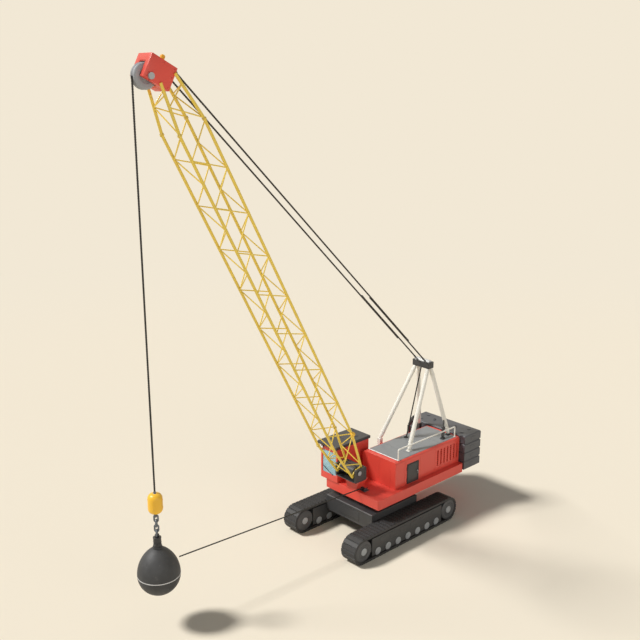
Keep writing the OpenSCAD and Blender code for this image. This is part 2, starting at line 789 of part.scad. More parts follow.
module boom_foot_section() {
    color("#d9b740") in_boom() difference() {
        union() {
            for (c = chords)
                strut(foot_at(c), past(foot_at(c), straight_at(foot_l, c), 60), chord_r);
            for (f = [0 : 3]) {
                lace(f, -2, lace_foot + bay_l - foot_l);
                lace(f, -1, 0, lace_off);
            }
            for (m = [0, 1]) mirror([0, m, 0]) {
                plate_y(foot_w - foot_plate / 2, foot_w + foot_plate / 2)
                    polygon([[-40, -foot_d - 30], [60, -foot_d - 30], [150, 0], [60, foot_d + 30],
                             [-40, foot_d + 30], [-110, 0]]);
                bar_y(0, 0, foot_w - foot_boss_in, cheek_in - 3, 120);
            }
        }
        bar_y(0, 0, -cheek_in, cheek_in, foot_pin_r + 2 * fit);
        box([foot_l - seat, -boom_w, -boom_d], [foot_l + 200, boom_w, boom_d]);
    }
}

module boom_tip_section() {
    color("#d9b740") in_boom() difference() {
        union() {
            for (c = chords)
                strut(past(tip_at(c), straight_at(straight_end, c), 60), tip_at(c), chord_r);
            for (f = [0 : 3]) {
                lace(f, last_lace + 1, lace_off);
                lace(f, last_lace + 2, 0, straight_end + bay_l - tip_cut + 20);
            }
        }
        box([straight_end - 200, -boom_w, -boom_d], [straight_end + seat, boom_w, boom_d]);
        box([tip_cut, -head_w / 2 - seat, -boom_d], [tip_end + 200, head_w / 2 + seat, boom_d]);
    }
}

// the head's own frame: X forward and up, Z across, from its lower rear corner
module in_head() {
    in_boom() translate([head_x, 0, head_n]) rotate([0, head_turn, 0])
        translate([-head_axle[0], 0, -head_axle[1]]) children();
}

module boom_head() {
    in_w = head_w / 2 - head_plate;
    lug_y = stay_y - stay_r - seat;
    color("#c0392b") in_head() difference() {
        union() {
            plate_y(-head_w / 2, head_w / 2)
                polygon([[0, 0], [0, head_h], [head_l, head_h], head_toe, head_nose]);
            both_sides() plate_y(lug_y - stay_lug_t, lug_y)
                polygon([[10, stay_eye_head[1] - 90], [stay_eye_head[0] - 45, stay_eye_head[1] - 25],
                         [stay_eye_head[0] - 45, stay_eye_head[1] + 25], [10, stay_eye_head[1] + 90]]);
        }
        plate_y(-in_w, in_w)
            polygon([[head_plate, -300], [head_plate, head_h - head_plate],
                     [head_l - head_plate, head_h - head_plate],
                     [head_toe[0] - head_plate, head_toe[1]], [head_toe[0] - head_plate, -300]]);
        bar_y(head_axle[0], head_axle[1], -sheave_w / 2 - 20, sheave_w / 2 + 20, sheave_r + 40);
        bar_y(head_axle[0], head_axle[1], -head_w / 2 - eps, head_w / 2 + eps, axle_r + fit);
    }
}

// the axle, with a spacer on each side of the sheave and a cap outside each cheek
module head_axle() {
    color("#9a9da0") in_head() union() {
        bar_y(head_axle[0], head_axle[1], -head_w / 2 - axle_cap_t, head_w / 2 + axle_cap_t, axle_r);
        both_sides() {
            bar_y(head_axle[0], head_axle[1], head_w / 2 + seat, head_w / 2 + axle_cap_t, axle_cap_r);
            bar_y(head_axle[0], head_axle[1], sheave_w / 2 + 5, head_w / 2 - head_plate - seat, axle_r + 30);
        }
    }
}

module head_sheave() {
    rim = sheave_w / 2 - 40;
    color("#8d9093") in_head() translate([head_axle[0], 0, head_axle[1]]) rotate([90, 0, 0])
        rotate_extrude() difference() {
            polygon([[axle_r + 2 * fit, -sheave_w / 2], [150, -sheave_w / 2], [190, -rim],
                     [sheave_r - 90, -rim], [sheave_r - 50, -sheave_w / 2], [sheave_r - 14, -sheave_w / 2],
                     [sheave_r, -sheave_w / 2 + 14], [sheave_r, sheave_w / 2 - 14],
                     [sheave_r - 14, sheave_w / 2], [sheave_r - 50, sheave_w / 2], [sheave_r - 90, rim],
                     [190, rim], [150, sheave_w / 2], [axle_r + 2 * fit, sheave_w / 2]]);
            translate([groove_r + groove_round, 0]) circle(r = groove_round);
        }
}

module boom_beacon() {
    r = 90;
    base = 70;
    color("#f0a030") in_head() translate([head_l - 604, 0, head_h + seat]) rotate_extrude() union() {
        square([r, base]);
        intersection() {
            translate([0, base]) circle(r = r);
            translate([0, base - eps]) square([r, r + eps]);
        }
    }
}

stay_run = luff_rope_low - [stay_eye[0], 0, stay_eye[2]];
stay_dir = stay_run / norm(stay_run);

module boom_stays() {
    color("#2b2a28") both_sides()
        strut(stay_eye, stay_eye + stay_dir * (norm(stay_run) - stay_short), stay_r);
}

module luffing_ropes() {
    low = luff_rope_low + [0, luff_rope_y, 0];
    color("#2b2a28") both_sides() strut(low, low - stay_dir * luff_rope_l, luff_rope_r);
}

// ---- ball ----

module hoist_rope() {
    color("#2b2a28") translate([fall_x, 0, block_top]) cylinder(h = head_pos[2] - block_top, r = rope_r);
}

// a round block with round ends, slotted below for the chain's upper link
module hook_block() {
    slot = link_wire + 21;
    color("#e9ad3c") translate([fall_x, 0, 0]) union() {
        difference() {
            translate([0, 0, block_low]) rotate_extrude() union() {
                square([block_r - block_round, block_h]);
                translate([0, block_round]) square([block_r, block_h - 2 * block_round]);
                for (z = [block_round, block_h - block_round])
                    intersection() {
                        translate([block_r - block_round, z]) circle(r = block_round);
                        translate([0, z - block_round]) square([block_r, 2 * block_round]);
                    }
            }
            box([-block_r - 10, -slot, block_low - eps], [block_r + 10, slot, block_low + 200]);
        }
        bar_y(0, upper_pin_z, -block_r + 50, block_r - 50, pin_r);
    }
}

// an oval link in the XZ plane, its middle at the origin
module link() {
    bend = 2 * link_wire + 14;
    half = link_in / 2 - bend + link_wire;
    union() {
        for (m = [0, 1]) mirror([0, 0, m]) translate([0, 0, half]) rotate([90, 0, 0])
            rotate_extrude(angle = 180) translate([bend, 0]) circle(r = link_wire);
        for (x = [-bend, bend]) translate([x, 0, -half]) cylinder(h = 2 * half, r = link_wire);
    }
}

module ball_chain() {
    first = upper_pin_z + pin_r + link_gap - link_in / 2;
    color("#7b7e81") for (i = [0 : link_count - 1])
        translate([fall_x, 0, first - i * link_step]) rotate([0, 0, i % 2 * 90]) link();
}

module ball_collar() {
    fork_in = link_wire + 12;
    fork_out = fork_in + 28;
    color("#37393b") translate([fall_x, 0, 0]) union() {
        translate([0, 0, neck_z + seat]) cylinder(h = collar_top - neck_z - seat, r = neck_r - 14);
        translate([0, 0, neck_z + seat]) cylinder(h = 130, r = neck_r);
        translate([0, 0, neck_z + 160]) cylinder(h = collar_top - neck_z - 160, r = neck_r);
        for (x = [-fork_out, fork_in])
            box([x, -40, collar_top - 10], [x + 28, 40, lower_pin_z + 45]);
        translate([-fork_out, 0, lower_pin_z]) rotate([0, 90, 0]) cylinder(h = 2 * fork_out, r = pin_r);
    }
}

// Half of the ball's outline: round below, drawn out to a blunt crown above, with a short neck
module ball_outline() {
    side_r = ball_r * 1.52;
    crown_r = (side_r ^ 2 - (side_r - ball_r) ^ 2 - ball_up ^ 2) / (2 * (side_r - ball_up));
    join = side_r * (ball_up - crown_r) / (side_r - crown_r);
    union() {
        intersection() {
            circle(r = ball_r, $fn = 96);
            translate([0, -ball_r]) square([ball_r, ball_r]);
        }
        intersection() {
            translate([ball_r - side_r, 0]) circle(r = side_r, $fn = 160);
            translate([0, -eps]) square([ball_r, join + eps]);
        }
        intersection() {
            translate([0, ball_up - crown_r]) circle(r = crown_r, $fn = 96);
            translate([0, join - eps]) square([crown_r, ball_up - join + eps]);
        }
        translate([0, ball_up - 60]) square([neck_r + 25, neck_z - ball_z - ball_up + 60]);
    }
}

module wrecking_ball() {
    color("#3a3c3f") translate([fall_x, 0, ball_z]) rotate_extrude($fn = 64) ball_outline();
}

carbody();
slew_ring();
left_track_frame();
right_track_frame();
left_track();
right_track();
track_rollers();
idler_wheels();
drive_sprockets();
deck();
engine_house();
roof_plate();
roof_rail();
engine();
counterweight_slabs();
tank_unit();
boom_foot_bracket();
boom_foot_pin();
cab_shell();
cab_roof();
windscreen();
cab_windows();
cab_seat();
cab_door();
cab_door_glass();
house_door();
fairlead();
gantry_pedestals();
gantry_front_legs();
gantry_rear_legs();
gantry_cylinders();
gantry_head();
gantry_sheaves();
boom_foot_section();
boom_main_section();
boom_tip_section();
boom_head();
head_axle();
head_sheave();
boom_beacon();
boom_stays();
luffing_ropes();
hoist_rope();
hook_block();
ball_chain();
ball_collar();
wrecking_ball();
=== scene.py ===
"""Wrecking ball crane: paints, weathering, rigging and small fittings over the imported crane."""

import json
import math
from itertools import product

import bmesh
import bpy
from bpy.props import FloatProperty, FloatVectorProperty, PointerProperty
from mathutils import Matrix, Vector


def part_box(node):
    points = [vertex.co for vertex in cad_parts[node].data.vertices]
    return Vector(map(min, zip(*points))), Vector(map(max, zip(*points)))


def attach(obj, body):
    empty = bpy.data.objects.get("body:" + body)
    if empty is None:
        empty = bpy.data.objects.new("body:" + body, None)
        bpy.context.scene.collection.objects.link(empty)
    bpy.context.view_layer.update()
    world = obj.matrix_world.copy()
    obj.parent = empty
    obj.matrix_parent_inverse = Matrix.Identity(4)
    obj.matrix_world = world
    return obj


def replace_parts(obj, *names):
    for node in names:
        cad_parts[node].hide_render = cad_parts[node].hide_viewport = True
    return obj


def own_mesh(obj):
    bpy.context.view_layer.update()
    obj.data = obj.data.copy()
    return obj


bl_info = {
    "name": "Wrecking Ball Crane",
    "version": (1, 0, 0),
    "blender": (4, 5, 0),
    "location": "3D View > Sidebar > Crane",
    "description": "Paints, rigs and fits out a crawler crane with a wrecking ball",
    "category": "Object",
}

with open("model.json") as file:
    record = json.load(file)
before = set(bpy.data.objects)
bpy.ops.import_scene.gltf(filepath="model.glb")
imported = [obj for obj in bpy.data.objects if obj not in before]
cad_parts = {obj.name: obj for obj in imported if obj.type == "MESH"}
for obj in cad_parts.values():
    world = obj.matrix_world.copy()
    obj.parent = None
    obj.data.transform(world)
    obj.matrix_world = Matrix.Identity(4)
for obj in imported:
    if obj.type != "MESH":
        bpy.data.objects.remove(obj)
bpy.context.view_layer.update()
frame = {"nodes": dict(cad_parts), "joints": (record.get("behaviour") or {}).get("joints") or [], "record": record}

X, Y, Z = Vector((1.0, 0.0, 0.0)), Vector((0.0, 1.0, 0.0)), Vector((0.0, 0.0, 1.0))
SIDES = (1, -1)  # left and right

PINS = {joint["name"]: Vector(joint["pos_m"]) for joint in frame["joints"] if "pos_m" in joint}
BOOM_FOOT = PINS["luff"]
HEAD_AXLE = PINS["head_sheave_spin"]
STAY_EYE = PINS["stay_pivot"]
STAY_FOOT = PINS["luffing_rope_pivot"]
STAY_Y = 0.300
BOOM_ANGLE = math.radians(61.84)  # above level, at rest
CHORD_Y, CHORD_UP = 0.503, 0.541  # from the boom's middle line to its chords
MAIN_START, MAIN_END = 1.75, 16.118  # of the boom's main section, along the boom
NODE_STEP = 0.898  # between the spots where lacing meets a chord
HEAD_ANGLE = math.radians(27.34)  # of the head's foot line above level
HEAD_HALF = 0.389  # half the head's width
AXLE_IN_HEAD = (0.767, 0.120)  # along the head's foot line, and above it
TRACK_Y = 1.765
TRACK_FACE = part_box("left_track_frame")[1].y
WHEEL_X = 2.65
WHEEL_Z = 0.548
DECK_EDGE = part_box("deck")[1].y
DECK_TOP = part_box("engine_house")[0].z
LEFT_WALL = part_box("engine_house")[1].y
RIGHT_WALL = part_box("engine_house")[0].y
ROOF_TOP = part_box("roof_plate")[1].z
TANK_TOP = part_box("tank_unit")[1].z
CAB_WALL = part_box("cab_shell")[0].y
GANTRY_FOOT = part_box("gantry_pedestals")[1].z


# ---------------------------------------------------------------- shader maths


class Value:
    """A shader socket. Arithmetic on it adds the Math nodes that work it out."""

    def __init__(self, shading, socket):
        self.shading = shading
        self.socket = socket

    def maths(self, operation, first, second, clamp=False):
        settings = {"operation": operation, "use_clamp": clamp}
        return self.shading.node("Math", settings, {0: first, 1: second})

    def __add__(self, other):
        return self.maths("ADD", self, other)

    def __sub__(self, other):
        return self.maths("SUBTRACT", self, other)

    def __rsub__(self, other):
        return self.maths("SUBTRACT", other, self)

    def __mul__(self, other):
        return self.maths("MULTIPLY", self, other)

    __radd__ = __add__
    __rmul__ = __mul__

    def clamped(self):
        return self.maths("ADD", self, 0.0, clamp=True)

    def or_more(self, other):
        return self.maths("MAXIMUM", self, other)

    def ramp(self, low, high):
        """0 where this is below low, 1 above high."""
        settings = {"interpolation_type": "SMOOTHSTEP", "clamp": True}
        return self.shading.node("MapRange", settings, {"Value": self, "From Min": low, "From Max": high})


class Shading:
    """The node tree of a material or a world. Every node is added by one method."""

    def __init__(self, owner):
        owner.use_nodes = True
        self.nodes = owner.node_tree.nodes
        self.links = owner.node_tree.links

    def feed(self, socket, value):
        """Links a socket to a worked-out value, or sets it to a plain one."""
        if isinstance(value, Value):
            self.links.new(value.socket, socket)
        else:
            socket.default_value = value

    def node(self, kind, settings=None, values=None, out=0):
        """Adds a node: its settings first, then the values or links of its sockets."""
        made = self.nodes.new("ShaderNode" + kind)
        for key, setting in (settings or {}).items():
            setattr(made, key, setting)
        for key, value in (values or {}).items():
            self.feed(made.inputs[key], value)
        return Value(self, made.outputs[out])


class Finish(Shading):
    """One node material, with the nodes that a paint or a bare surface needs."""

    def __init__(self, name, roughness=0.5, metallic=0.0, coat=0.0):
        self.material = bpy.data.materials.new(name)
        super().__init__(self.material)
        self.shader = self.nodes["Principled BSDF"]
        self.set("Roughness", roughness)
        self.set("Metallic", metallic)
        self.set("Coat Weight", coat)
        self.set("Coat Roughness", 0.12)

    def set(self, key, value):
        """Links or sets one socket of the shader."""
        self.feed(self.shader.inputs[key], value)

    def place(self, stretch=None):
        """Where a point is on the crane at rest, in metres."""
        spot = self.node("TexCoord", out="Object")
        if stretch:
            return self.node("VectorMath", {"operation": "MULTIPLY"}, {0: spot, 1: stretch})
        return spot

    def along(self, axis, vector=None):
        """One part of a vector, which is a point's place unless another is given."""
        return self.node("SeparateXYZ", None, {0: vector or self.place()}, axis)

    def facing_up(self):
        """1 on top faces, 0 on walls and below."""
        return self.along("Z", self.node("NewGeometry", out="Normal")).ramp(0.35, 0.95)

    def clouds(self, scale, detail=4.0, rough=0.55, stretch=None):
        """Soft noise from 0 to 1; scale is in patches a metre."""
        values = {"Vector": self.place(stretch), "Scale": scale, "Detail": detail, "Roughness": rough}
        return self.node("TexNoise", None, values)

    def softened(self, width):
        """The normal as it would be with rounded edges."""
        return self.node("Bevel", {"samples": 4}, {"Radius": width})

    def edges(self, width):
        """About 1 along outer and inner edges, 0 on open faces."""
        values = {0: self.softened(width), 1: self.node("NewGeometry", out="Normal")}
        match = self.node("VectorMath", {"operation": "DOT_PRODUCT"}, values, "Value")
        return (1.0 - match).ramp(0.02, 0.16)

    def mix(self, share, low, high):
        """Mixes two colours by a share."""
        settings = {"data_type": "RGBA", "blend_type": "MIX"}
        return self.node("Mix", settings, {"Factor": share, "A": low, "B": high}, 2)

    def toned(self, share, colour, dark, light):
        """A colour that wanders between a darker and a lighter shade of itself."""
        return self.mix(share, shade(colour, dark), shade(colour, light))

    def relief(self, height, depth, strength=1.0, round_edges=0.0):
        """Bump from a height in 0..1, depth metres deep, on softened edges."""
        values = {"Height": height, "Distance": depth, "Strength": strength}
        if round_edges:
            values["Normal"] = self.softened(round_edges)
        self.set("Normal", self.node("Bump", None, values))


def shade(colour, factor):
    """A colour made lighter or darker, with full alpha."""
    return (*[min(1.0, max(0.0, c * factor)) for c in colour[:3]], 1.0)


def paint(name, colour, gloss=0.4, wear=0.3, dust=0.3, under=(0.13, 0.12, 0.12), back=None):
    """Machine enamel: faded patches, dust low down, chips on edges; back is the colour aft."""
    f = Finish(name, gloss, coat=0.12)
    fade = f.clouds(0.55, 3.0).ramp(0.3, 0.7)
    base = f.toned(fade, colour, 0.965, 1.03)
    if back:
        base = f.mix(f.along("X").ramp(-2.2, -2.3), base, (*back, 1.0))
    streaks = f.clouds(7.0, 5.0, 0.6, (1.0, 1.0, 0.08)).ramp(0.55, 0.8)
    base = f.mix(streaks * 0.08, base, shade(colour, 0.72))
    grime = (f.clouds(3.0, 6.0, 0.65) + f.along("Z").ramp(1.8, 0.1) * 0.2).ramp(0.66, 0.95)
    settled = f.facing_up() * f.clouds(1.6, 6.0).ramp(0.45, 0.8) * 0.16
    dirt = (grime * 0.22 + settled).clamped() * dust
    base = f.mix(dirt, base, (0.36, 0.33, 0.29, 1.0))
    chips = f.edges(0.010) * f.clouds(26.0, 5.0, 0.7).ramp(0.52, 0.62)
    specks = f.clouds(60.0, 3.0).ramp(0.76, 0.79) * f.clouds(2.0, 2.0).ramp(0.55, 0.7)
    worn = (chips + specks * 0.4).clamped() * wear
    f.set("Base Color", f.mix(worn, base, (*under, 1.0)))
    f.set("Roughness", gloss + dirt * 0.35 + worn * 0.2 + (fade - 0.5) * 0.06)
    peel = f.clouds(140.0, 2.0) * 0.15 + f.clouds(1.3, 2.0) * 0.85 - worn * 0.3
    f.relief(peel, 0.003, 0.3, 0.010)
    return f.material


def bare_metal(name, colour, gloss=0.42, rust=0.15, metallic=0.35):
    """Turned or rolled steel, with tool marks, oil film and a little rust."""
    f = Finish(name, gloss, metallic)
    base = f.toned(f.clouds(2.5).ramp(0.3, 0.7), colour, 0.92, 1.06)
    spots = f.clouds(16.0, 6.0, 0.7).ramp(0.62, 0.78) * rust
    f.set("Base Color", f.mix(spots, base, (0.17, 0.085, 0.045, 1.0)))
    f.set("Metallic", (metallic - spots * metallic).clamped())
    marks = f.clouds(40.0, 4.0, 0.6, (1.0, 1.0, 0.2))
    f.set("Roughness", gloss + spots * 0.35 + (marks - 0.5) * 0.15)
    f.relief(marks * 0.5 + spots, 0.0015, 0.3, 0.006)
    return f.material


def shoe_steel(name, colour):
    """Cast track steel: dark and fine grained, dusty low down, polished on its edges."""
    f = Finish(name)
    base = f.toned(f.clouds(3.0, 5.0).ramp(0.3, 0.72), colour, 0.93, 1.08)
    soil = f.clouds(5.0, 7.0, 0.7).ramp(0.58, 0.85) * f.along("Z").ramp(0.9, 0.0)
    base = f.mix(soil * 0.22, base, (0.24, 0.21, 0.18, 1.0))
    polish = f.edges(0.010) * f.clouds(18.0).ramp(0.4, 0.6)
    f.set("Base Color", f.mix(polish * 0.22, base, (0.26, 0.26, 0.27, 1.0)))
    f.set("Metallic", (0.15 + polish * 0.4).clamped())
    f.set("Roughness", 0.6 + soil * 0.25 - polish * 0.15)
    f.relief(f.clouds(70.0, 5.0, 0.7) + soil * 0.4, 0.003, 0.35, 0.008)
    return f.material


def cast_iron(name, colour):
    """Sand-cast iron with dents from blows and dust rubbed into them."""
    f = Finish(name)
    values = {"Vector": f.place(), "Scale": 5.0, "Smoothness": 0.6, "Randomness": 1.0}
    dents = f.node("TexVoronoi", {"feature": "SMOOTH_F1"}, values, "Distance")
    hollow = dents.ramp(0.42, 0.1)
    base = f.toned(f.clouds(2.2, 5.0).ramp(0.3, 0.7), colour, 0.85, 1.15)
    dust = f.clouds(8.0, 6.0, 0.7).ramp(0.55, 0.8) * (0.35 + hollow * 0.65)
    base = f.mix(dust * 0.3, base, (0.34, 0.31, 0.28, 1.0))
    scuffs = f.clouds(9.0, 5.0, 0.6, (1.0, 1.0, 0.25)).ramp(0.66, 0.76)
    f.set("Base Color", f.mix(scuffs * 0.35, base, (0.30, 0.30, 0.31, 1.0)))
    f.set("Metallic", (0.2 + scuffs * 0.5).clamped())
    f.set("Roughness", 0.58 + dust * 0.25 - scuffs * 0.15)
    f.relief(f.clouds(120.0, 4.0, 0.7) * 0.12 + dents * 0.7, 0.012, 0.5)
    return f.material


def glazing(name, colour):
    """Tinted cab glass with a film of dust."""
    f = Finish(name)
    film = f.clouds(3.0, 5.0, 0.6).ramp(0.4, 0.85)
    f.set("Base Color", f.toned(film * 0.4, colour, 1.0, 1.12))
    f.set("Roughness", 0.06 + film * 0.1)
    f.set("Alpha", 0.55 + film * 0.2)
    f.relief(f.clouds(0.8, 1.0), 0.002, 0.15)
    f.set("IOR", 1.5)
    return f.material


def moulded(name, colour, gloss=0.55):
    """Moulded plastic or rubber with a fine grain."""
    f = Finish(name)
    tone = f.clouds(4.0, 3.0).ramp(0.3, 0.7)
    rub = f.edges(0.01) * f.clouds(20.0).ramp(0.4, 0.7)
    f.set("Base Color", f.mix(rub * 0.3, f.toned(tone, colour, 0.9, 1.08), shade(colour, 1.7)))
    f.set("Roughness", gloss + (tone - 0.5) * 0.12)
    f.relief(f.clouds(260.0, 3.0), 0.001, 0.4, 0.006)
    return f.material


def rope_wire(name, colour):
    """Greased wire rope: dark lay with dull highlights along its wires."""
    f = Finish(name)
    grease = f.clouds(3.0, 4.0, 0.6).ramp(0.35, 0.7)
    f.set("Base Color", f.toned(grease, colour, 0.8, 1.3))
    f.set("Roughness", 0.42 + grease * 0.25)
    f.set("Metallic", 0.4 + grease * 0.3)
    f.relief(f.clouds(320.0, 3.0, 0.6), 0.0015, 0.6)
    return f.material


# ---------------------------------------------------------------- mesh making


def boom_at(along, side, up):
    """A point on the boom: metres along it from the foot pin, to the left, and above its middle line."""
    c, s = math.cos(BOOM_ANGLE), math.sin(BOOM_ANGLE)
    return BOOM_FOOT + Vector((along * c - up * s, side, along * s + up * c))


def head_at(along, up, side):
    """A point on the boom head: metres along its foot line, above it and to the left."""
    c, s = math.cos(HEAD_ANGLE), math.sin(HEAD_ANGLE)
    dx, dz = along - AXLE_IN_HEAD[0], up - AXLE_IN_HEAD[1]
    return HEAD_AXLE + Vector((dx * c - dz * s, side, dx * s + dz * c))


def axes_of(direction):
    """Two unit vectors square to a direction and to each other."""
    d = Vector(direction).normalized()
    u = (X if abs(d.z) > 0.99 else Z).cross(d).normalized()
    return u, d.cross(u)


def turn_in(count):
    """Angles evenly round a full turn."""
    return [2 * math.pi * i / count for i in range(count)]


def ring_of(count, centre, radius, axis="z"):
    """Points evenly round a centre, square to an axis."""
    u, v = {"z": (X, Y), "y": (X, Z)}[axis]
    return [Vector(centre) + u * (radius * math.cos(a)) + v * (radius * math.sin(a)) for a in turn_in(count)]


def straight(start, end, step):
    """Points from one end to the other, about step apart."""
    count = max(2, int((end - start).length / step) + 1)
    return [start.lerp(end, i / (count - 1)) for i in range(count)]


def rounded(points, radius):
    """A path with its inner corners rounded."""
    steps = 4
    pts = [Vector(p) for p in points]
    path = [pts[0]]
    for before, here, after in zip(pts, pts[1:], pts[2:]):
        a = here + (before - here).normalized() * radius
        b = here + (after - here).normalized() * radius
        for i in range(steps + 1):
            t = i / steps
            path.append(a.lerp(here, t).lerp(here.lerp(b, t), t))
    return [*path, pts[-1]]


def stand(name, data):
    """An object with this data, in the scene."""
    made = bpy.data.objects.new(name, data)
    bpy.context.scene.collection.objects.link(made)
    return made


MATERIALS = {}


class Piece:
    """Collects faces for one object of the crane, in metres, where they stand at rest."""

    def __init__(self, name):
        self.name = name
        self.verts = []
        self.faces = []

    def loft(self, rings, ends=True):
        """Skins a row of closed rings that all have as many points, and turns its faces outwards."""
        first = len(self.verts)
        size = len(rings[0])
        for ring in rings:
            self.verts.extend(Vector(p) for p in ring)
        last = first + (len(rings) - 1) * size
        faces = []
        for a in range(first, last, size):
            for i in range(size):
                j = (i + 1) % size
                faces.append((a + i, a + j, a + size + j, a + size + i))
        if ends:
            faces.append(tuple(range(first + size - 1, first - 1, -1)))
            faces.append(tuple(range(last, last + size)))
        self.faces += faces if self.room_in(faces) > 0 else [face[::-1] for face in faces]
        return self

    def room_in(self, faces):
        """Six times the volume inside a closed form, and below zero where its faces look inwards."""
        origin = self.verts[faces[0][0]]
        room = 0.0
        for face in faces:
            a, *others = [self.verts[i] - origin for i in face]
            for b, c in zip(others, others[1:]):
                room += a.dot(b.cross(c))
        return room

    def block(self, corner, other, chamfer=0.006):
        """A chamfered block between two corners."""
        lo, hi = Vector(map(min, corner, other)), Vector(map(max, corner, other))
        c = min(chamfer, *[(b - a) * 0.45 for a, b in zip(lo, hi)])

        def ring(z, inset):
            x0, y0, x1, y1 = lo.x + inset, lo.y + inset, hi.x - inset, hi.y - inset
            flat = [
                (x0 + c, y0), (x1 - c, y0), (x1, y0 + c), (x1, y1 - c),
                (x1 - c, y1), (x0 + c, y1), (x0, y1 - c), (x0, y0 + c),
            ]
            return [(x, y, z) for x, y in flat]

        return self.loft([ring(lo.z, c), ring(lo.z + c, 0.0), ring(hi.z - c, 0.0), ring(hi.z, c)])

    def surround(self, facing, depth, low, high, half, chamfer=0.004):
        """Four bars round an opening; low and high are corners, (across, up), of their middle lines."""

        def corner(d, across, up):
            return (d, across, up) if facing == "x" else (across, d, up)

        (a0, b0), (a1, b1) = low, high
        near, far = depth
        for a in (a0, a1):
            self.block(corner(near, a - half, b0 - half), corner(far, a + half, b1 + half), chamfer)
        for b in (b0, b1):
            self.block(corner(near, a0 - half, b - half), corner(far, a1 + half, b + half), chamfer)

    def plate(self, outline, place, low, high):
        """A flat outline of (along, up) points, thickened between two side distances."""
        return self.loft([[place(a, b, side) for a, b in outline] for side in (low, high)])

    def turned(self, origin, axis, profile, sides=24):
        """A turned form: profile is (distance along the axis, radius) pairs."""
        o, d = Vector(origin), Vector(axis).normalized()
        u, v = axes_of(d)
        turn = turn_in(sides)
        return self.loft(
            [[o + d * z + u * (r * math.cos(a)) + v * (r * math.sin(a)) for a in turn] for z, r in profile]
        )

    def rod(self, start, end, radius, sides, chamfer=0.0):
        """A round bar from one point to another, with chamfered ends."""
        s, run = Vector(start), Vector(end) - Vector(start)
        size, c = run.length, chamfer
        profile = [(0, radius - c), (c, radius), (size - c, radius), (size, radius - c)]
        return self.turned(s, run, profile if c else profile[1:3], sides)

    def bolts(self, spots, axis, width, height):
        """Hexagon heads on washers; width is across the flats."""
        r = width * 0.577
        for spot in spots:
            self.turned(spot, axis, [(0, r * 1.35), (height * 0.2, r * 1.35)], 12)
            self.turned(spot, axis, [(height * 0.2, r), (height * 0.85, r), (height, r * 0.84)], 6)

    def sweep(self, path, radius, sides, lobes=0, lay=0.0, depth=0.0):
        """A round or stranded section along a path; lay is one strand's pitch."""
        pts = [Vector(p) for p in path]
        u, _ = axes_of(pts[1] - pts[0])
        twist = 2 * math.pi / lay if lay else 0.0
        run = 0.0
        rings = []
        for i, p in enumerate(pts):
            before, after = pts[max(i - 1, 0)], pts[min(i + 1, len(pts) - 1)]
            d = (after - before).normalized()
            u = (u - d * u.dot(d)).normalized()
            v = d.cross(u)
            run += (p - before).length
            ring = []
            for a in turn_in(sides):
                r = radius - depth * (0.5 - 0.5 * math.cos(a * lobes))
                spin = a + run * twist
                ring.append(p + (u * math.cos(spin) + v * math.sin(spin)) * r)
            rings.append(ring)
        return self.loft(rings)

    def rope(self, start, end, diameter):
        """A laid wire rope of six strands."""
        lay = diameter * 6.5
        return self.sweep(straight(start, end, lay / 6), diameter / 2, 18, 6, lay, diameter * 0.09)

    def bow(self, foot, out, along, bend, radius, sides=10):
        """A round bar that stands out from its foot, runs along and comes back."""
        foot, out, along = Vector(foot), Vector(out), Vector(along)
        return self.sweep(rounded([foot, foot + out, foot + out + along, foot + along], bend), radius, sides)

    def mesh(self, bevel=0.0):
        """The faces as a mesh, with its sharp edges rounded."""
        mesh = bpy.data.meshes.new(self.name)
        mesh.from_pydata([tuple(v) for v in self.verts], [], self.faces)
        mesh.validate()
        if bevel:
            form = bmesh.new()
            form.from_mesh(mesh)
            sharp = [e for e in form.edges if e.is_manifold and e.calc_face_angle(0.0) > math.radians(28.0)]
            bmesh.ops.bevel(
                form, geom=sharp, offset=bevel, offset_type="OFFSET",
                segments=2, profile=0.5, affect="EDGES", clamp_overlap=True,
            )
            form.to_mesh(mesh)
            form.free()
        return mesh

    def carve(self, tool):
        """Cuts another closed form out of this one."""
        whole, cutter = (stand("shape", part.mesh()) for part in (self, tool))
        cut = whole.modifiers.new("cut", "BOOLEAN")
        cut.operation = "DIFFERENCE"
        cut.solver = "EXACT"
        cut.object = cutter
        bpy.context.view_layer.update()
        shape = whole.evaluated_get(bpy.context.evaluated_depsgraph_get()).to_mesh()
        self.verts = [v.co.copy() for v in shape.vertices]
        self.faces = [tuple(f.vertices) for f in shape.polygons]
        for thing in (whole, cutter):
            mesh = thing.data
            bpy.data.objects.remove(thing)
            bpy.data.meshes.remove(mesh)

    def finished(self, body, material, slot=None, crease=35.0, bevel=0.0):
        """Makes the object, which rides on its body; the slot argument is not used."""
        slot = slot or material
        mesh = self.mesh(bevel)
        mesh.materials.append(MATERIALS[material])
        mesh.shade_smooth()
        mesh.set_sharp_from_angle(angle=math.radians(crease))
        made = stand(self.name, mesh)
        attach(made, body)
        return made


def wire_line(name, body, start, end, diameter):
    """A laid wire rope between two points, as a piece of its own."""
    return Piece(name).rope(start, end, diameter).finished(body, "wire_rope", None, 60.0)


# ---------------------------------------------------------------- sizes and colours


def colour(label, about, value):
    return FloatVectorProperty(
        name=label, description=about, default=value, size=3, min=0.0, max=1.0, subtype="COLOR"
    )


def length(label, about, value, low, high):
    return FloatProperty(
        name=label, description=about, default=value, min=low, max=high, unit="LENGTH", subtype="DISTANCE"
    )


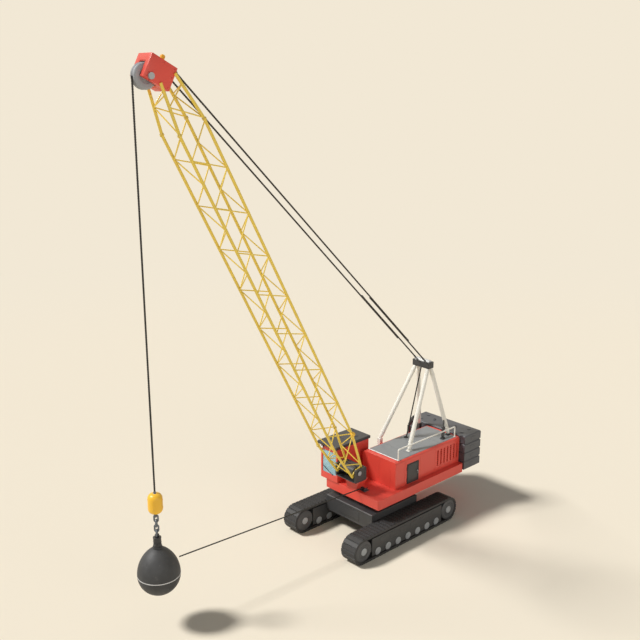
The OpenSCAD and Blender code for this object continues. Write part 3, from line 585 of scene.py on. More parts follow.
class CranePaints(bpy.types.PropertyGroup):
    """Colours of the paints and bare surfaces."""

    body: colour("Body red", "Deck, engine house, cab and boom head", (0.77, 0.078, 0.054))
    boom: colour("Boom yellow", "Lattice boom", (0.92, 0.67, 0.095))
    chassis: colour("Chassis grey", "Carbody, track frames, bracket", (0.040, 0.041, 0.044))
    shoes: colour("Track steel", "Track shoes", (0.034, 0.034, 0.036))
    wheels: colour("Wheel grey", "Idler and sprocket discs", (0.066, 0.068, 0.074))
    caps: colour("Cap grey", "Roller caps, hubs and boom pins", (0.40, 0.42, 0.45))
    slabs: colour("Counterweight slate", "Counterweight slabs", (0.076, 0.080, 0.093))
    roof: colour("Roof grey", "Roof plate", (0.235, 0.248, 0.258))
    gantry: colour("Gantry cream", "Gantry legs and roof rail", (0.86, 0.84, 0.77))
    block: colour("Block orange", "Hook block and beacon base", (1.0, 0.56, 0.032))
    ball: colour("Ball iron", "Wrecking ball", (0.050, 0.052, 0.056))
    glass: colour("Cab glass", "Windows of the cab", (0.45, 0.74, 0.84))
    floor: colour("Floor", "Floor and backdrop", (0.887, 0.807, 0.665))


class CraneSizes(bpy.types.PropertyGroup):
    """Sizes of the rigging and small fittings."""

    hoist_rope: length("Hoist rope", "Diameter of the hoist rope", 0.072, 0.02, 0.08)
    stay_rope: length("Stay rope", "Diameter of the boom stays and luffing ropes", 0.070, 0.016, 0.071)
    luff_line: length("Luffing line", "Diameter of the line into the roof", 0.064, 0.02, 0.10)
    tag_line: length("Tag line", "Diameter of the tag line to the ball", 0.056, 0.02, 0.06)
    gantry_leg: length("Gantry leg", "Radius of the gantry legs", 0.094, 0.05, 0.11)
    rail: length("Rail", "Radius of the cab's step rails", 0.020, 0.01, 0.03)
    bolt: length("Bolt head", "Width across the flats of a bolt head", 0.036, 0.01, 0.08)
    grouser: length("Grouser", "Height of the bars on the track shoes", 0.022, 0.005, 0.04)


def sizes():
    return bpy.context.scene.crane_sizes


def paints():
    return bpy.context.scene.crane_paints


# ---------------------------------------------------------------- the stage


class CRANE_OT_stage(bpy.types.Operator):
    """Camera, floor, backdrop, sun and sky"""

    bl_idname = "crane.stage"
    bl_label = "Stage"

    def execute(self, context):
        scene = context.scene
        scene.view_settings.view_transform = "Standard"
        lens = bpy.data.cameras.new("camera")
        lens.lens = 48.23
        lens.clip_end = 400.0
        camera = stand("camera", lens)
        camera.location = (24.805, 23.420, 18.391)
        camera.rotation_euler = (math.radians(74.96), 0.0, math.radians(137.13))
        scene.camera = camera
        self.floor()
        self.lamps()
        self.sky(scene)
        return {"FINISHED"}

    def floor(self):
        """A wide pale disc that fades into the backdrop far out."""
        tone = (*paints().floor, 1.0)
        made = Finish("floor", 0.9)
        away = made.node("VectorMath", {"operation": "LENGTH"}, {0: made.place()}, "Value")
        made.set("Base Color", made.mix(made.clouds(0.4, 3.0) * 0.02, tone, shade(tone, 0.97)))
        made.set("Specular IOR Level", 0.1)
        made.relief(made.clouds(2.0, 2.0), 0.002, 0.1)
        backdrop = made.node("Emission", None, {"Color": tone, "Strength": 1.0})
        lit = Value(made, made.shader.outputs[0])
        joined = made.node("MixShader", None, {0: away.ramp(26.0, 62.0), 1: lit, 2: backdrop})
        made.feed(made.nodes["Material Output"].inputs["Surface"], joined)
        mesh = bpy.data.meshes.new("floor")
        mesh.from_pydata([tuple(p) for p in ring_of(64, (0, 0, 0), 120.0)], [], [tuple(range(64))])
        mesh.materials.append(made.material)
        stand("floor", mesh)

    def lamps(self):
        """A soft main sun, and a faint low fill that lifts the near sides."""
        for name, energy, spread, way in (
            ("sun", 3.2, 11.0, (0.498, -0.411, 0.764)),
            ("fill", 0.62, 40.0, (0.12, 0.96, 0.20)),
        ):
            sun = bpy.data.lights.new(name, "SUN")
            sun.energy = energy
            sun.angle = math.radians(spread)
            sun.color = (1.0, 0.985, 0.96)
            stand(name, sun).rotation_euler = Vector(way).to_track_quat("Z", "Y").to_euler()

    def sky(self, scene):
        """Dim light all round, behind a backdrop of the floor's colour that is only looked at."""
        scene.world = bpy.data.worlds.new("studio")
        sky = Shading(scene.world)
        sky.nodes.remove(sky.nodes["Background"])
        camera, glossy, through = (
            sky.node("LightPath", out=f"Is {ray} Ray") for ray in ("Camera", "Glossy", "Transmission")
        )
        shown = sky.node("Background", None, {"Color": (*paints().floor, 1.0), "Strength": 1.0})
        lit = sky.node("Background", None, {"Color": (0.96, 0.98, 1.0, 1.0), "Strength": 0.20})
        both = sky.node("MixShader", None, {0: camera.or_more(glossy).or_more(through), 1: lit, 2: shown})
        sky.feed(sky.nodes["World Output"].inputs["Surface"], both)


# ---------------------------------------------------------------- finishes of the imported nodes


class CRANE_OT_finishes(bpy.types.Operator):
    """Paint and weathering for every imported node"""

    bl_idname = "crane.finishes"
    bl_label = "Finishes"

    def execute(self, context):
        p = paints()
        for make, name, *look in (
            (paint, "red_paint", p.body, 0.40, 0.25, 0.25, (0.20, 0.15, 0.13)),
            (paint, "yellow_paint", p.boom, 0.42, 0.3, 0.2, (0.25, 0.17, 0.09)),
            (paint, "dark_paint", p.chassis, 0.50, 0.3, 0.25, (0.12, 0.12, 0.12)),
            (paint, "cream_paint", p.gantry, 0.42, 0.3, 0.2, (0.30, 0.27, 0.23)),
            (paint, "grey_paint", p.roof, 0.46, 0.3, 0.3, (0.12, 0.12, 0.12)),
            (paint, "slate_paint", p.slabs, 0.52, 0.3, 0.25, (0.18, 0.18, 0.18)),
            (paint, "engine_paint", (0.10, 0.11, 0.12), 0.5, 0.4, 0.5),
            (paint, "cylinder_paint", (0.024, 0.024, 0.026), 0.4, 0.3, 0.3),
            (paint, "orange_paint", p.block, 0.38, 0.25, 0.2, (0.25, 0.17, 0.10)),
            (paint, "wheel_paint", p.wheels, 0.5, 0.3, 0.3),
            (paint, "post_paint", p.gantry, 0.42, 0.3, 0.2, (0.13, 0.12, 0.12), p.chassis),
            (shoe_steel, "track_steel", p.shoes),
            # grousers: darker than the shoe steel, a painted shade for the shadowed gaps between shoes
            (shoe_steel, "grouser_steel", (0.014, 0.014, 0.015)),
            (bare_metal, "bare_steel", p.caps),
            (bare_metal, "sheave_iron", (0.33, 0.345, 0.37), 0.62, 0.06, 0.1),
            (bare_metal, "ring_steel", (0.66, 0.67, 0.69), 0.5, 0.1, 0.1),
            (bare_metal, "chain_steel", (0.145, 0.165, 0.195), 0.34, 0.15, 0.6),
            (cast_iron, "ball_iron", p.ball),
            (moulded, "beacon_plastic", (1.0, 0.56, 0.05), 0.3),
            (moulded, "seat_plastic", (0.045, 0.048, 0.052), 0.6),
            # white for the roof's front edge and lamp lenses; on the gantry sheaves it is a painted highlight in
            # place of the shine of bare metal
            (moulded, "white_plastic", (0.88, 0.88, 0.86), 0.3),
            (glazing, "window_glass", p.glass),
            (rope_wire, "wire_rope", (0.036, 0.035, 0.033)),
            (moulded, "rubber", (0.022, 0.022, 0.024), 0.7),
        ):
            MATERIALS[name] = make(name, *look)
        own = {"gantry_pedestals": "post_paint", "ball_collar": "cylinder_paint"}
        for row in frame["record"]["subparts"]:
            node = frame["nodes"][row["node"]]
            node.data.materials.clear()
            finish = own.get(row["node"], row["material_slot"])
            node.data.materials.append(MATERIALS[finish])
        return {"FINISHED"}


# ---------------------------------------------------------------- rigging


class CRANE_OT_rigging(bpy.types.Operator):
    """Hoist rope, boom stays, luffing ropes, luffing line and tag line"""

    bl_idname = "crane.rigging"
    bl_label = "Rigging"

    def execute(self, context):
        self.hoist()
        self.stays()
        self.lines()
        return {"FINISHED"}

    def hoist(self):
        """An upper rope that shortens as the block comes up, and a lower one that rides with it."""
        upper_start, lower_end = 1.3, 3.85  # above the block, so the two overlap
        low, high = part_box("hoist_rope")
        x, y = (low.x + high.x) / 2, (low.y + high.y) / 2
        foot, top = Vector((x, y, low.z)), Vector((x, y, high.z))
        d = sizes().hoist_rope
        fall = wire_line("hoist_fall_rope", "hoist_fall", foot + Z * upper_start, top, d)
        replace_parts(fall, "hoist_rope")
        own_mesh(fall)
        wire_line("block_rope", "hook_block", foot, foot + Z * lower_end, d * 0.999)

    def stays(self):
        """Two stays from the head and two luffing ropes from the gantry, with their sockets."""
        stay_gap, luffing_run = 1.72, 4.98  # the stays stop short of the gantry by the gap
        d = sizes().stay_rope
        run = STAY_FOOT - STAY_EYE
        reach, down = run.length, run.normalized()
        cone = [(0.0, d * 0.42), (0.02, d * 0.5), (0.20, d * 0.54), (0.22, d * 0.5)]
        for name, node, body, start, way, size, out in (
            ("boom_stay_ropes", "boom_stays", "stays", STAY_EYE, down, reach - stay_gap, STAY_Y),
            ("luffing_wire_ropes", "luffing_ropes", "luffing_ropes", STAY_FOOT, -down, luffing_run, 0.229),
        ):
            ropes, ends = Piece(name), Piece(name + "_sockets")
            for side in SIDES:
                a = start + Y * (side * out)
                b = a + way * size
                ropes.rope(a, b, d)
                ends.turned(a + way * 0.06, way, cone, 14)
                ends.turned(b - way * 0.24, way, cone, 14)
            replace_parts(ropes.finished(body, "wire_rope", None, 60.0), node)
            ends.finished(body, "dark_paint", "wire_rope")

    def lines(self):
        """The luffing line from the gantry into the roof, and the tag line to the ball."""
        top, slot = Vector((-3.05, 0.0, 6.56)), Vector((-2.40, -0.21, 3.22))
        wire_line("luffing_line", "upper", top, slot, sizes().luff_line)
        lead, eye = Vector((0.93, 0.415, 2.176)), Vector((9.90, 0.0, 2.330))
        tag = wire_line("tag_line", "upper", lead, eye, sizes().tag_line)
        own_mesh(tag)


# ---------------------------------------------------------------- boom


class CRANE_OT_head(bpy.types.Operator):
    """Boom head, its stay lugs, bolts, sheave and beacon"""

    bl_idname = "crane.head"
    bl_label = "Boom head"

    def execute(self, context):
        self.shell()
        self.lugs()
        self.bolts()
        self.sheave()
        self.beacon()
        return {"FINISHED"}

    def shell(self):
        """A plain box with a slot for the sheave, open in front and below."""
        outline = [(0.0, 0.0), (0.0, 0.770), (0.984, 0.772), (0.990, 0.008)]
        slot, clear = 0.168, 0.44  # half the slot's width, and its radius round the axle
        arc = [
            (AXLE_IN_HEAD[0] + clear * math.cos(a), AXLE_IN_HEAD[1] + clear * math.sin(a))
            for a in (math.radians(62.0 + 158.0 * i / 14) for i in range(15))
        ]
        opening = [(1.20, 0.532), (0.974, 0.532), *arc, (0.42, -0.40), (1.20, -0.40)]
        shell = Piece("boom_head_shell").plate(outline, head_at, -HEAD_HALF, HEAD_HALF)
        shell.carve(Piece("slot").plate(opening, head_at, -slot, slot))
        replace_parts(shell.finished("boom", "red_paint", None, 40.0, 0.012), "boom_head")

    def lugs(self):
        """Two plates and a pin for each stay."""
        along, up = AXLE_IN_HEAD[0] - 0.797, AXLE_IN_HEAD[1] + 0.530
        tab = [
            (0.02, 0.575), (0.02, 0.725), (along, up + 0.045),
            (along - 0.04, up + 0.02), (along - 0.04, up - 0.02), (along, up - 0.045),
        ]
        lugs = Piece("stay_lugs")
        for side in (STAY_Y, -STAY_Y):
            for inner, outer in ((0.030, 0.052), (-0.052, -0.030)):
                lugs.plate(tab, head_at, side + inner, side + outer)
            lugs.rod(head_at(along, up, side - 0.062), head_at(along, up, side + 0.062), 0.024, 16, 0.004)
        lugs.finished("boom", "dark_paint", "red_paint", bevel=0.003)

    def bolts(self):
        """Bolts on both cheeks, and a ring of them round the axle."""
        cheek, size = HEAD_HALF - 0.001, sizes().bolt
        bolts = Piece("boom_head_bolts")
        for side in SIDES:
            places = ((0.07, 0.08), (0.07, 0.70), (0.90, 0.70), (0.48, 0.70), (0.07, 0.40))
            bolts.bolts([head_at(along, up, side * cheek) for along, up in places], Y * side, size, 0.014)
            bolts.bolts(ring_of(6, HEAD_AXLE + Y * side * cheek, 0.135, "y"), Y * side, size * 0.8, 0.012)
        bolts.finished("boom", "red_paint")

    def sheave(self):
        """A fat cast sheave: domed faces, a shallow groove and a bolted hub."""
        half = [
            (0.000, 0.378), (0.018, 0.380), (0.034, 0.390), (0.052, 0.407), (0.068, 0.412),
            (0.092, 0.408), (0.116, 0.394), (0.134, 0.370), (0.145, 0.335), (0.150, 0.285),
            (0.150, 0.240), (0.138, 0.225), (0.132, 0.200), (0.132, 0.150), (0.138, 0.125),
            (0.150, 0.115), (0.150, 0.062),
        ]
        profile = [(-z, r) for z, r in reversed(half)] + half[1:]
        wheel = Piece("sheave_casting").turned(HEAD_AXLE, Y, profile, 72)
        for side in SIDES:
            wheel.bolts(ring_of(8, HEAD_AXLE + Y * side * 0.131, 0.175, "y"), Y * side, 0.04, 0.016)
        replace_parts(wheel.finished("head_sheave", "sheave_iron", "bare_steel", 32.0), "head_sheave")

    def beacon(self):
        """A ribbed lens on a flanged base."""
        foot = head_at(0.405, 0.768, 0.0)
        up = (head_at(0.0, 1.0, 0.0) - head_at(0.0, 0.0, 0.0)).normalized()
        rib = ((0.137, 0.080), (0.144, 0.075))
        ribs = [(z + i * 0.014, r) for i in range(6) for z, r in rib]
        profile = [(0.125, 0.074), *ribs, (0.230, 0.068), (0.246, 0.050), (0.253, 0.022)]
        lens = Piece("beacon_lens").turned(foot, up, profile, 28)
        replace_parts(lens.finished("boom", "beacon_plastic", None, 50.0), "boom_beacon")
        profile = [
            (0, 0.088), (0.014, 0.088), (0.018, 0.062),
            (0.106, 0.062), (0.113, 0.084), (0.127, 0.084),
        ]
        base = Piece("beacon_base").turned(foot, up, profile, 28)
        base.finished("boom", "orange_paint", "beacon_plastic")


class CRANE_OT_boom(bpy.types.Operator):
    """Boom flanges, chord sleeves, marker lamp and foot pin caps"""

    bl_idname = "crane.boom"
    bl_label = "Boom fittings"

    def execute(self, context):
        self.chords()
        self.lamp()
        self.pin_caps()
        return {"FINISHED"}

    def chords(self):
        """Bolted flanges at both ends of the main section, and a sleeve where lacing meets a chord."""
        axis = boom_at(1.0, 0.0, 0.0) - boom_at(0.0, 0.0, 0.0)
        u, v = axes_of(axis)
        half = [(-0.034, 0.050), (-0.034, 0.070), (-0.030, 0.074), (-0.003, 0.074), (-0.003, 0.068)]
        pair = half + [(-z, r) for z, r in reversed(half)]
        bead = [(-0.075, 0.0515), (-0.068, 0.0545), (0.068, 0.0545), (0.075, 0.0515)]
        flanges, sleeves, pins = Piece("boom_flanges"), Piece("boom_sleeves"), Piece("boom_flange_bolts")
        for side, up in product((CHORD_Y, -CHORD_Y), (CHORD_UP, -CHORD_UP)):
            for along in (MAIN_START, MAIN_END):
                flanges.turned(boom_at(along, side, up), axis, pair, 20)
                face = boom_at(along + 0.033, side, up)
                spots = [face + (u * math.cos(a) + v * math.sin(a)) * 0.061 for a in turn_in(6)]
                pins.bolts(spots, axis, 0.018, 0.012)
            for k in range(1, 16):
                sleeves.turned(boom_at(MAIN_START + NODE_STEP * k, side, up), axis, bead, 14)
        flanges.finished("boom", "yellow_paint")
        sleeves.finished("boom", "yellow_paint")
        pins.finished("boom", "bare_steel", "yellow_paint")

    def lamp(self):
        """An amber lamp on the left side, where the main section starts."""
        profile = [(0.0, 0.100), (0.02, 0.106), (0.05, 0.098), (0.075, 0.072), (0.086, 0.03)]
        spot = boom_at(MAIN_START + 0.03, CHORD_Y + 0.042, CHORD_UP)
        lamp = Piece("boom_marker_lamp").turned(spot, (0.25, 1.0, 0.15), profile, 28)
        lamp.finished("boom", "beacon_plastic", None, 50.0)

    def pin_caps(self):
        """Bolted caps on both ends of the foot pin."""
        profile = [(0, 0.100), (0.010, 0.100), (0.016, 0.094), (0.016, 0.05), (0.024, 0.045), (0.024, 0.012)]
        caps = Piece("foot_pin_caps")
        for side in SIDES:
            spot = BOOM_FOOT + Y * side * 0.622
            caps.turned(spot, Y * side, profile, 32)
            caps.bolts(ring_of(6, spot + Y * side * 0.015, 0.074, "y"), Y * side, 0.020, 0.010)
        caps.finished("boom", "bare_steel")


class CRANE_OT_block(bpy.types.Operator):
    """Hook block: a round weight in two halves, with its cheek bolts and rope socket"""

    bl_idname = "crane.block"
    bl_label = "Hook block"

    def execute(self, context):
        low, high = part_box("hook_block")
        x, y = (low.x + high.x) / 2, (low.y + high.y) / 2
        foot, top = Vector((x, y, low.z)), Vector((x, y, high.z))
        tall, wide, soft = high.z - low.z, 0.258, 0.185
        turns = [math.pi / 2 * i / 8 for i in range(9)]
        half = [(soft - soft * math.cos(a), wide - soft + soft * math.sin(a)) for a in turns]
        half += [(tall / 2 - 0.008, wide), (tall / 2 - 0.003, wide - 0.005)]
        profile = half + [(tall - z, r) for z, r in reversed(half)]
        weight = Piece("block_weight").turned(foot, Z, profile, 48)
        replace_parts(weight.finished("hook_block", "orange_paint", None, 40.0), "hook_block")
        trim = Piece("block_trim")
        neck = [(0, 0.066), (0.020, 0.066), (0.028, 0.058), (0.028, 0.040), (0.085, 0.036), (0.092, 0.032)]
        trim.turned(top - Z * 0.012, Z, neck, 24)
        trim.turned(foot + Z * 0.010, -Z, [(0, 0.060), (0.014, 0.060), (0.018, 0.052)], 24)
        trim.finished("hook_block", "chain_steel", "bare_steel")
        bolts = Piece("block_bolts")
        for a in turn_in(4):
            way = Vector((math.cos(a + math.pi / 4), math.sin(a + math.pi / 4), 0))
            spots = [foot + Z * z + way * (wide - 0.002) for z in (0.24, tall - 0.24)]
            bolts.bolts(spots, way, sizes().bolt, 0.014)
        bolts.finished("hook_block", "orange_paint")
        return {"FINISHED"}


class CRANE_OT_ball(bpy.types.Operator):
    """Ball: stout chain, casting ring, collar bands and bolts"""

    bl_idname = "crane.ball"
    bl_label = "Wrecking ball"

    def execute(self, context):
        low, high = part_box("wrecking_ball")
        x = (low.x + high.x) / 2
        self.chain(x)
        self.ring(Vector((x, 0.0, 2.024)), high.y)
        self.collar(x)
        return {"FINISHED"}

    def chain(self, x):
        """Links of round bar, each a quarter turn from the last."""
        low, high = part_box("ball_chain")
        count, wire, bend = 5, 0.031, 0.068
        inner = (high.z - low.z - 4 * wire) / count
        half = inner / 2 + wire - bend
        links = Piece("chain_links")
        for k in range(count):
            heart = Vector((x, 0.0, low.z + 2 * wire + inner * (k + 0.5)))
            turn = math.pi / 4 + math.pi / 2 * (k % 2)
            side = Vector((math.cos(turn), math.sin(turn), 0.0))
            across = Vector((-side.y, side.x, 0.0))
            loop = []
            for a in turn_in(40):
                rise = half if math.sin(a) >= 0 else -half
                loop.append(heart + side * (bend * math.cos(a)) + Z * (rise + bend * math.sin(a)))
            rings = []
            for i, spot in enumerate(loop):
                out = (loop[(i + 1) % 40] - loop[i - 1]).normalized().cross(across).normalized()
                rings.append(
                    [spot + across * (wire * math.cos(b)) + out * (wire * math.sin(b)) for b in turn_in(14)]
                )
            links.loft([*rings, rings[0]], ends=False)
        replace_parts(links.finished("ball", "chain_steel", "bare_steel", 60.0), "ball_chain")

    def ring(self, heart, r):
        """The bright seam where the two halves of the casting meet."""
        low, tall = -0.026, 0.044
        strip = []
        for i in range(7):
            z = low + tall * i / 6
            strip.append((z, math.sqrt(r * r - z * z) + (0.0015 if 0 < i < 6 else -0.004)))
        band = Piece("ball_ring")
        band.turned(heart, Z, [(low, r - 0.02), *strip, (low + tall, r - 0.02)], 96)
        band.finished("ball", "ring_steel", "bare_steel", 50.0)

    def collar(self, x):
        """Bands and bolts round the ball's collar."""
        low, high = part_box("ball_collar")
        wide = high.y
        bands = Piece("collar_bands")
        for z, tall in ((high.z - 0.150, 0.040), (low.z + 0.055, 0.030)):
            out, sunk = wide + 0.006, wide - 0.01
            profile = [(0, sunk), (0.004, out), (tall - 0.004, out), (tall, sunk)]
            bands.turned((x, 0.0, z), Z, profile, 40)
        for spot in ring_of(8, (x, 0.0, low.z + 0.16), wide - 0.002):
            bands.bolts([spot], Vector((spot.x - x, spot.y, 0.0)), 0.026, 0.012)
        bands.finished("ball", "cylinder_paint", "dark_paint")


# ---------------------------------------------------------------- undercarriage


class CRANE_OT_tracks(bpy.types.Operator):
    """Grousers, wheels, roller caps and frame covers of both tracks"""

    bl_idname = "crane.tracks"
    bl_label = "Tracks"

    def execute(self, context):
        self.grousers()
        self.wheels()
        self.caps()
        self.covers()
        return {"FINISHED"}

    def grousers(self):
        """A bar across every shoe of the upper run, coloured darker than the shoes as painted shade for the
        shadowed gaps between shoes.
        """
        pitch, tall, half = 2 * WHEEL_X / 26, sizes().grouser, 0.352
        for side, label in zip(SIDES, ("left", "right")):
            bars = Piece(label + "_grousers")
            mid = side * TRACK_Y
            for i in range(27):
                x = -WHEEL_X + i * pitch
                bars.block((x - 0.034, mid - half, 1.090), (x + 0.034, mid + half, 1.096 + tall), 0.010)
            # the bars' darker colour is painted shade for the gaps between shoes
            bars.finished("undercarriage", "grouser_steel", "track_steel")

    def wheels(self):
        """Idlers in front and sprockets behind: rim, dished disc and bolted hub."""
        rim = 0.4455
        disc = [
            (1.397, 0.185), (1.397, rim - 0.02), (1.412, rim), (2.110, rim), (2.126, rim - 0.016),
            (2.133, rim - 0.030), (2.133, rim - 0.115), (2.120, rim - 0.135), (2.120, 0.210),
            (2.133, 0.190), (2.133, 0.12),
        ]
        outer = [
            (2.120, 0.150), (2.146, 0.150), (2.152, 0.143), (2.152, 0.085),
            (2.147, 0.078), (2.147, 0.052), (2.155, 0.044), (2.155, 0.012),
        ]
        inner = [(0, 0.150), (0.022, 0.150), (0.028, 0.143), (0.028, 0.085), (0.022, 0.078), (0.022, 0.012)]
        for node, name, x in (
            ("idler_wheels", "idlers", WHEEL_X),
            ("drive_sprockets", "sprockets", -WHEEL_X),
        ):
            discs, hubs = Piece(name), Piece(name + "_hubs")
            heart = Vector((x, 0.0, WHEEL_Z))
            for side in SIDES:
                out = Y * side
                discs.turned(heart, out, disc, 64)
                discs.bolts(ring_of(12, heart + out * 2.119, 0.262, "y"), out, 0.034, 0.016)
                hubs.turned(heart, out, outer, 40)
                hubs.bolts(ring_of(8, heart + out * 2.150, 0.115, "y"), out, 0.024, 0.005)
                hubs.turned(heart + out * 1.399, -out, inner, 40)
            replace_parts(discs.finished("undercarriage", "wheel_paint", "dark_paint", 30.0), node)
            hubs.finished("undercarriage", "bare_steel", None, 30.0)

    def caps(self):
        """A bolted cap on the outer end of every bottom roller."""
        profile = [(0, 0.118), (0.009, 0.118), (0.013, 0.112), (0.013, 0.05), (0.010, 0.042), (0.010, 0.01)]
        caps = Piece("roller_caps")
        for side in SIDES:
            for i in range(-3, 4):
                spot = Vector((i * 0.610, side * (TRACK_FACE + 0.007), 0.287))
                caps.turned(spot, Y * side, profile, 28)
                caps.bolts(ring_of(4, spot + Y * side * 0.011, 0.085, "y"), Y * side, 0.020, 0.004)
        caps.finished("undercarriage", "bare_steel", None, 30.0)

    def covers(self):
        """Bolted plates on the outer face of the track frames."""
        near, far = TRACK_FACE - 0.003, TRACK_FACE + 0.006
        covers = Piece("track_frame_covers")
        for side in SIDES:
            for i in range(6):
                x = (i - 2.5) * 0.62
                covers.block((x - 0.17, side * near, 0.58), (x + 0.17, side * far, 0.84))
                spots = product((x - 0.145, x + 0.145), (side * (far - 0.001),), (0.605, 0.815))
                covers.bolts(spots, Y * side, 0.022, 0.008)
        covers.finished("undercarriage", "dark_paint")


class CRANE_OT_chassis(bpy.types.Operator):
    """Slew ring bolts, carbody covers, deck bolts, bracket plates, fairlead base and cab steps"""

    bl_idname = "crane.chassis"
    bl_label = "Chassis and deck"

    def execute(self, context):
        self.carbody()
        self.deck()
        self.fairlead()
        self.steps()
        return {"FINISHED"}

    def carbody(self):
        """Bolts round the slewing ring, and bolted covers in front and behind."""
        ring_top = 1.398
        ring = Piece("slew_ring_bolts")
        ring.bolts(ring_of(36, (0, 0, ring_top), 1.045), Z, 0.044, 0.034)
        ring.turned((0, 0, ring_top), Z, [(0, 1.10), (0.012, 1.10), (0.016, 1.094), (0.016, 0.97)], 96)
        ring.finished("undercarriage", "dark_paint")
        end = 1.400
        covers = Piece("carbody_covers")
        for side in SIDES:
            covers.block((side * end, -0.62, 0.86), (side * (end + 0.018), 0.62, 1.24), 0.008)
            spots = product((side * (end + 0.016),), (-0.58, -0.29, 0.0, 0.29, 0.58), (0.895, 1.205))
            covers.bolts(spots, X * side, 0.034, 0.014)
        covers.finished("undercarriage", "dark_paint")

    def deck(self):
        """Bolts along the deck's edges, and plates on the boom foot bracket."""
        edge, cheek = DECK_EDGE - 0.001, 0.598
        bolts = Piece("deck_bolts")
        for side in SIDES:
            bolts.bolts([(-4.10 + i * 0.36, side * edge, 1.72) for i in range(14)], Y * side, 0.030, 0.012)
        bolts.finished("upper", "red_paint")
        plates = Piece("bracket_plates")
        plates.block((1.603, -0.518, 2.636), (1.621, 0.518, 2.668), 0.004)
        for side in SIDES:
            plates.block((1.02, side * cheek, 2.68), (1.10, side * (cheek + 0.012), 3.16), 0.004)
            spots = [(1.06, side * (cheek + 0.011), z) for z in (2.74, 2.86, 2.98, 3.10)]
            plates.bolts(spots, Y * side, 0.028, 0.012)
        plates.finished("upper", "dark_paint")

    def fairlead(self):
        """A bolted foot, a cheek plate and a roller for the tag line."""
        roller = [(0, 0.03), (0.004, 0.034), (0.176, 0.034), (0.180, 0.03)]
        lead = Piece("fairlead_base")
        lead.block((0.78, 0.29, DECK_TOP - 0.002), (1.06, 0.60, DECK_TOP + 0.022), 0.008)
        lead.block((0.82, 0.515, DECK_TOP + 0.014), (1.02, 0.540, DECK_TOP + 0.124), 0.008)
        lead.turned((0.93, 0.33, 2.150), Y, roller, 20)
        for y, x in product((0.31, 0.58), (0.80, 1.04)):
            lead.bolts([(x, y, DECK_TOP + 0.021)], Z, 0.026, 0.012)
        lead.finished("upper", "wheel_paint", "dark_paint")

    def steps(self):
        """Two bent rails below the cab door, with three treads."""
        edge, out = 0.001 - DECK_EDGE, -1.80
        steps = Piece("cab_steps")
        for x in (0.0, 0.42):
            path = rounded([(x, edge, 1.95), (x, out, 1.95), (x, out, 1.30)], 0.06)
            steps.sweep(path, sizes().rail, 10)
        for z in (1.36, 1.62, 1.88):
            steps.block((-0.01, out - 0.04, z - 0.012), (0.43, out + 0.06, z + 0.012))
        steps.finished("upper", "dark_paint")


# ---------------------------------------------------------------- upper works


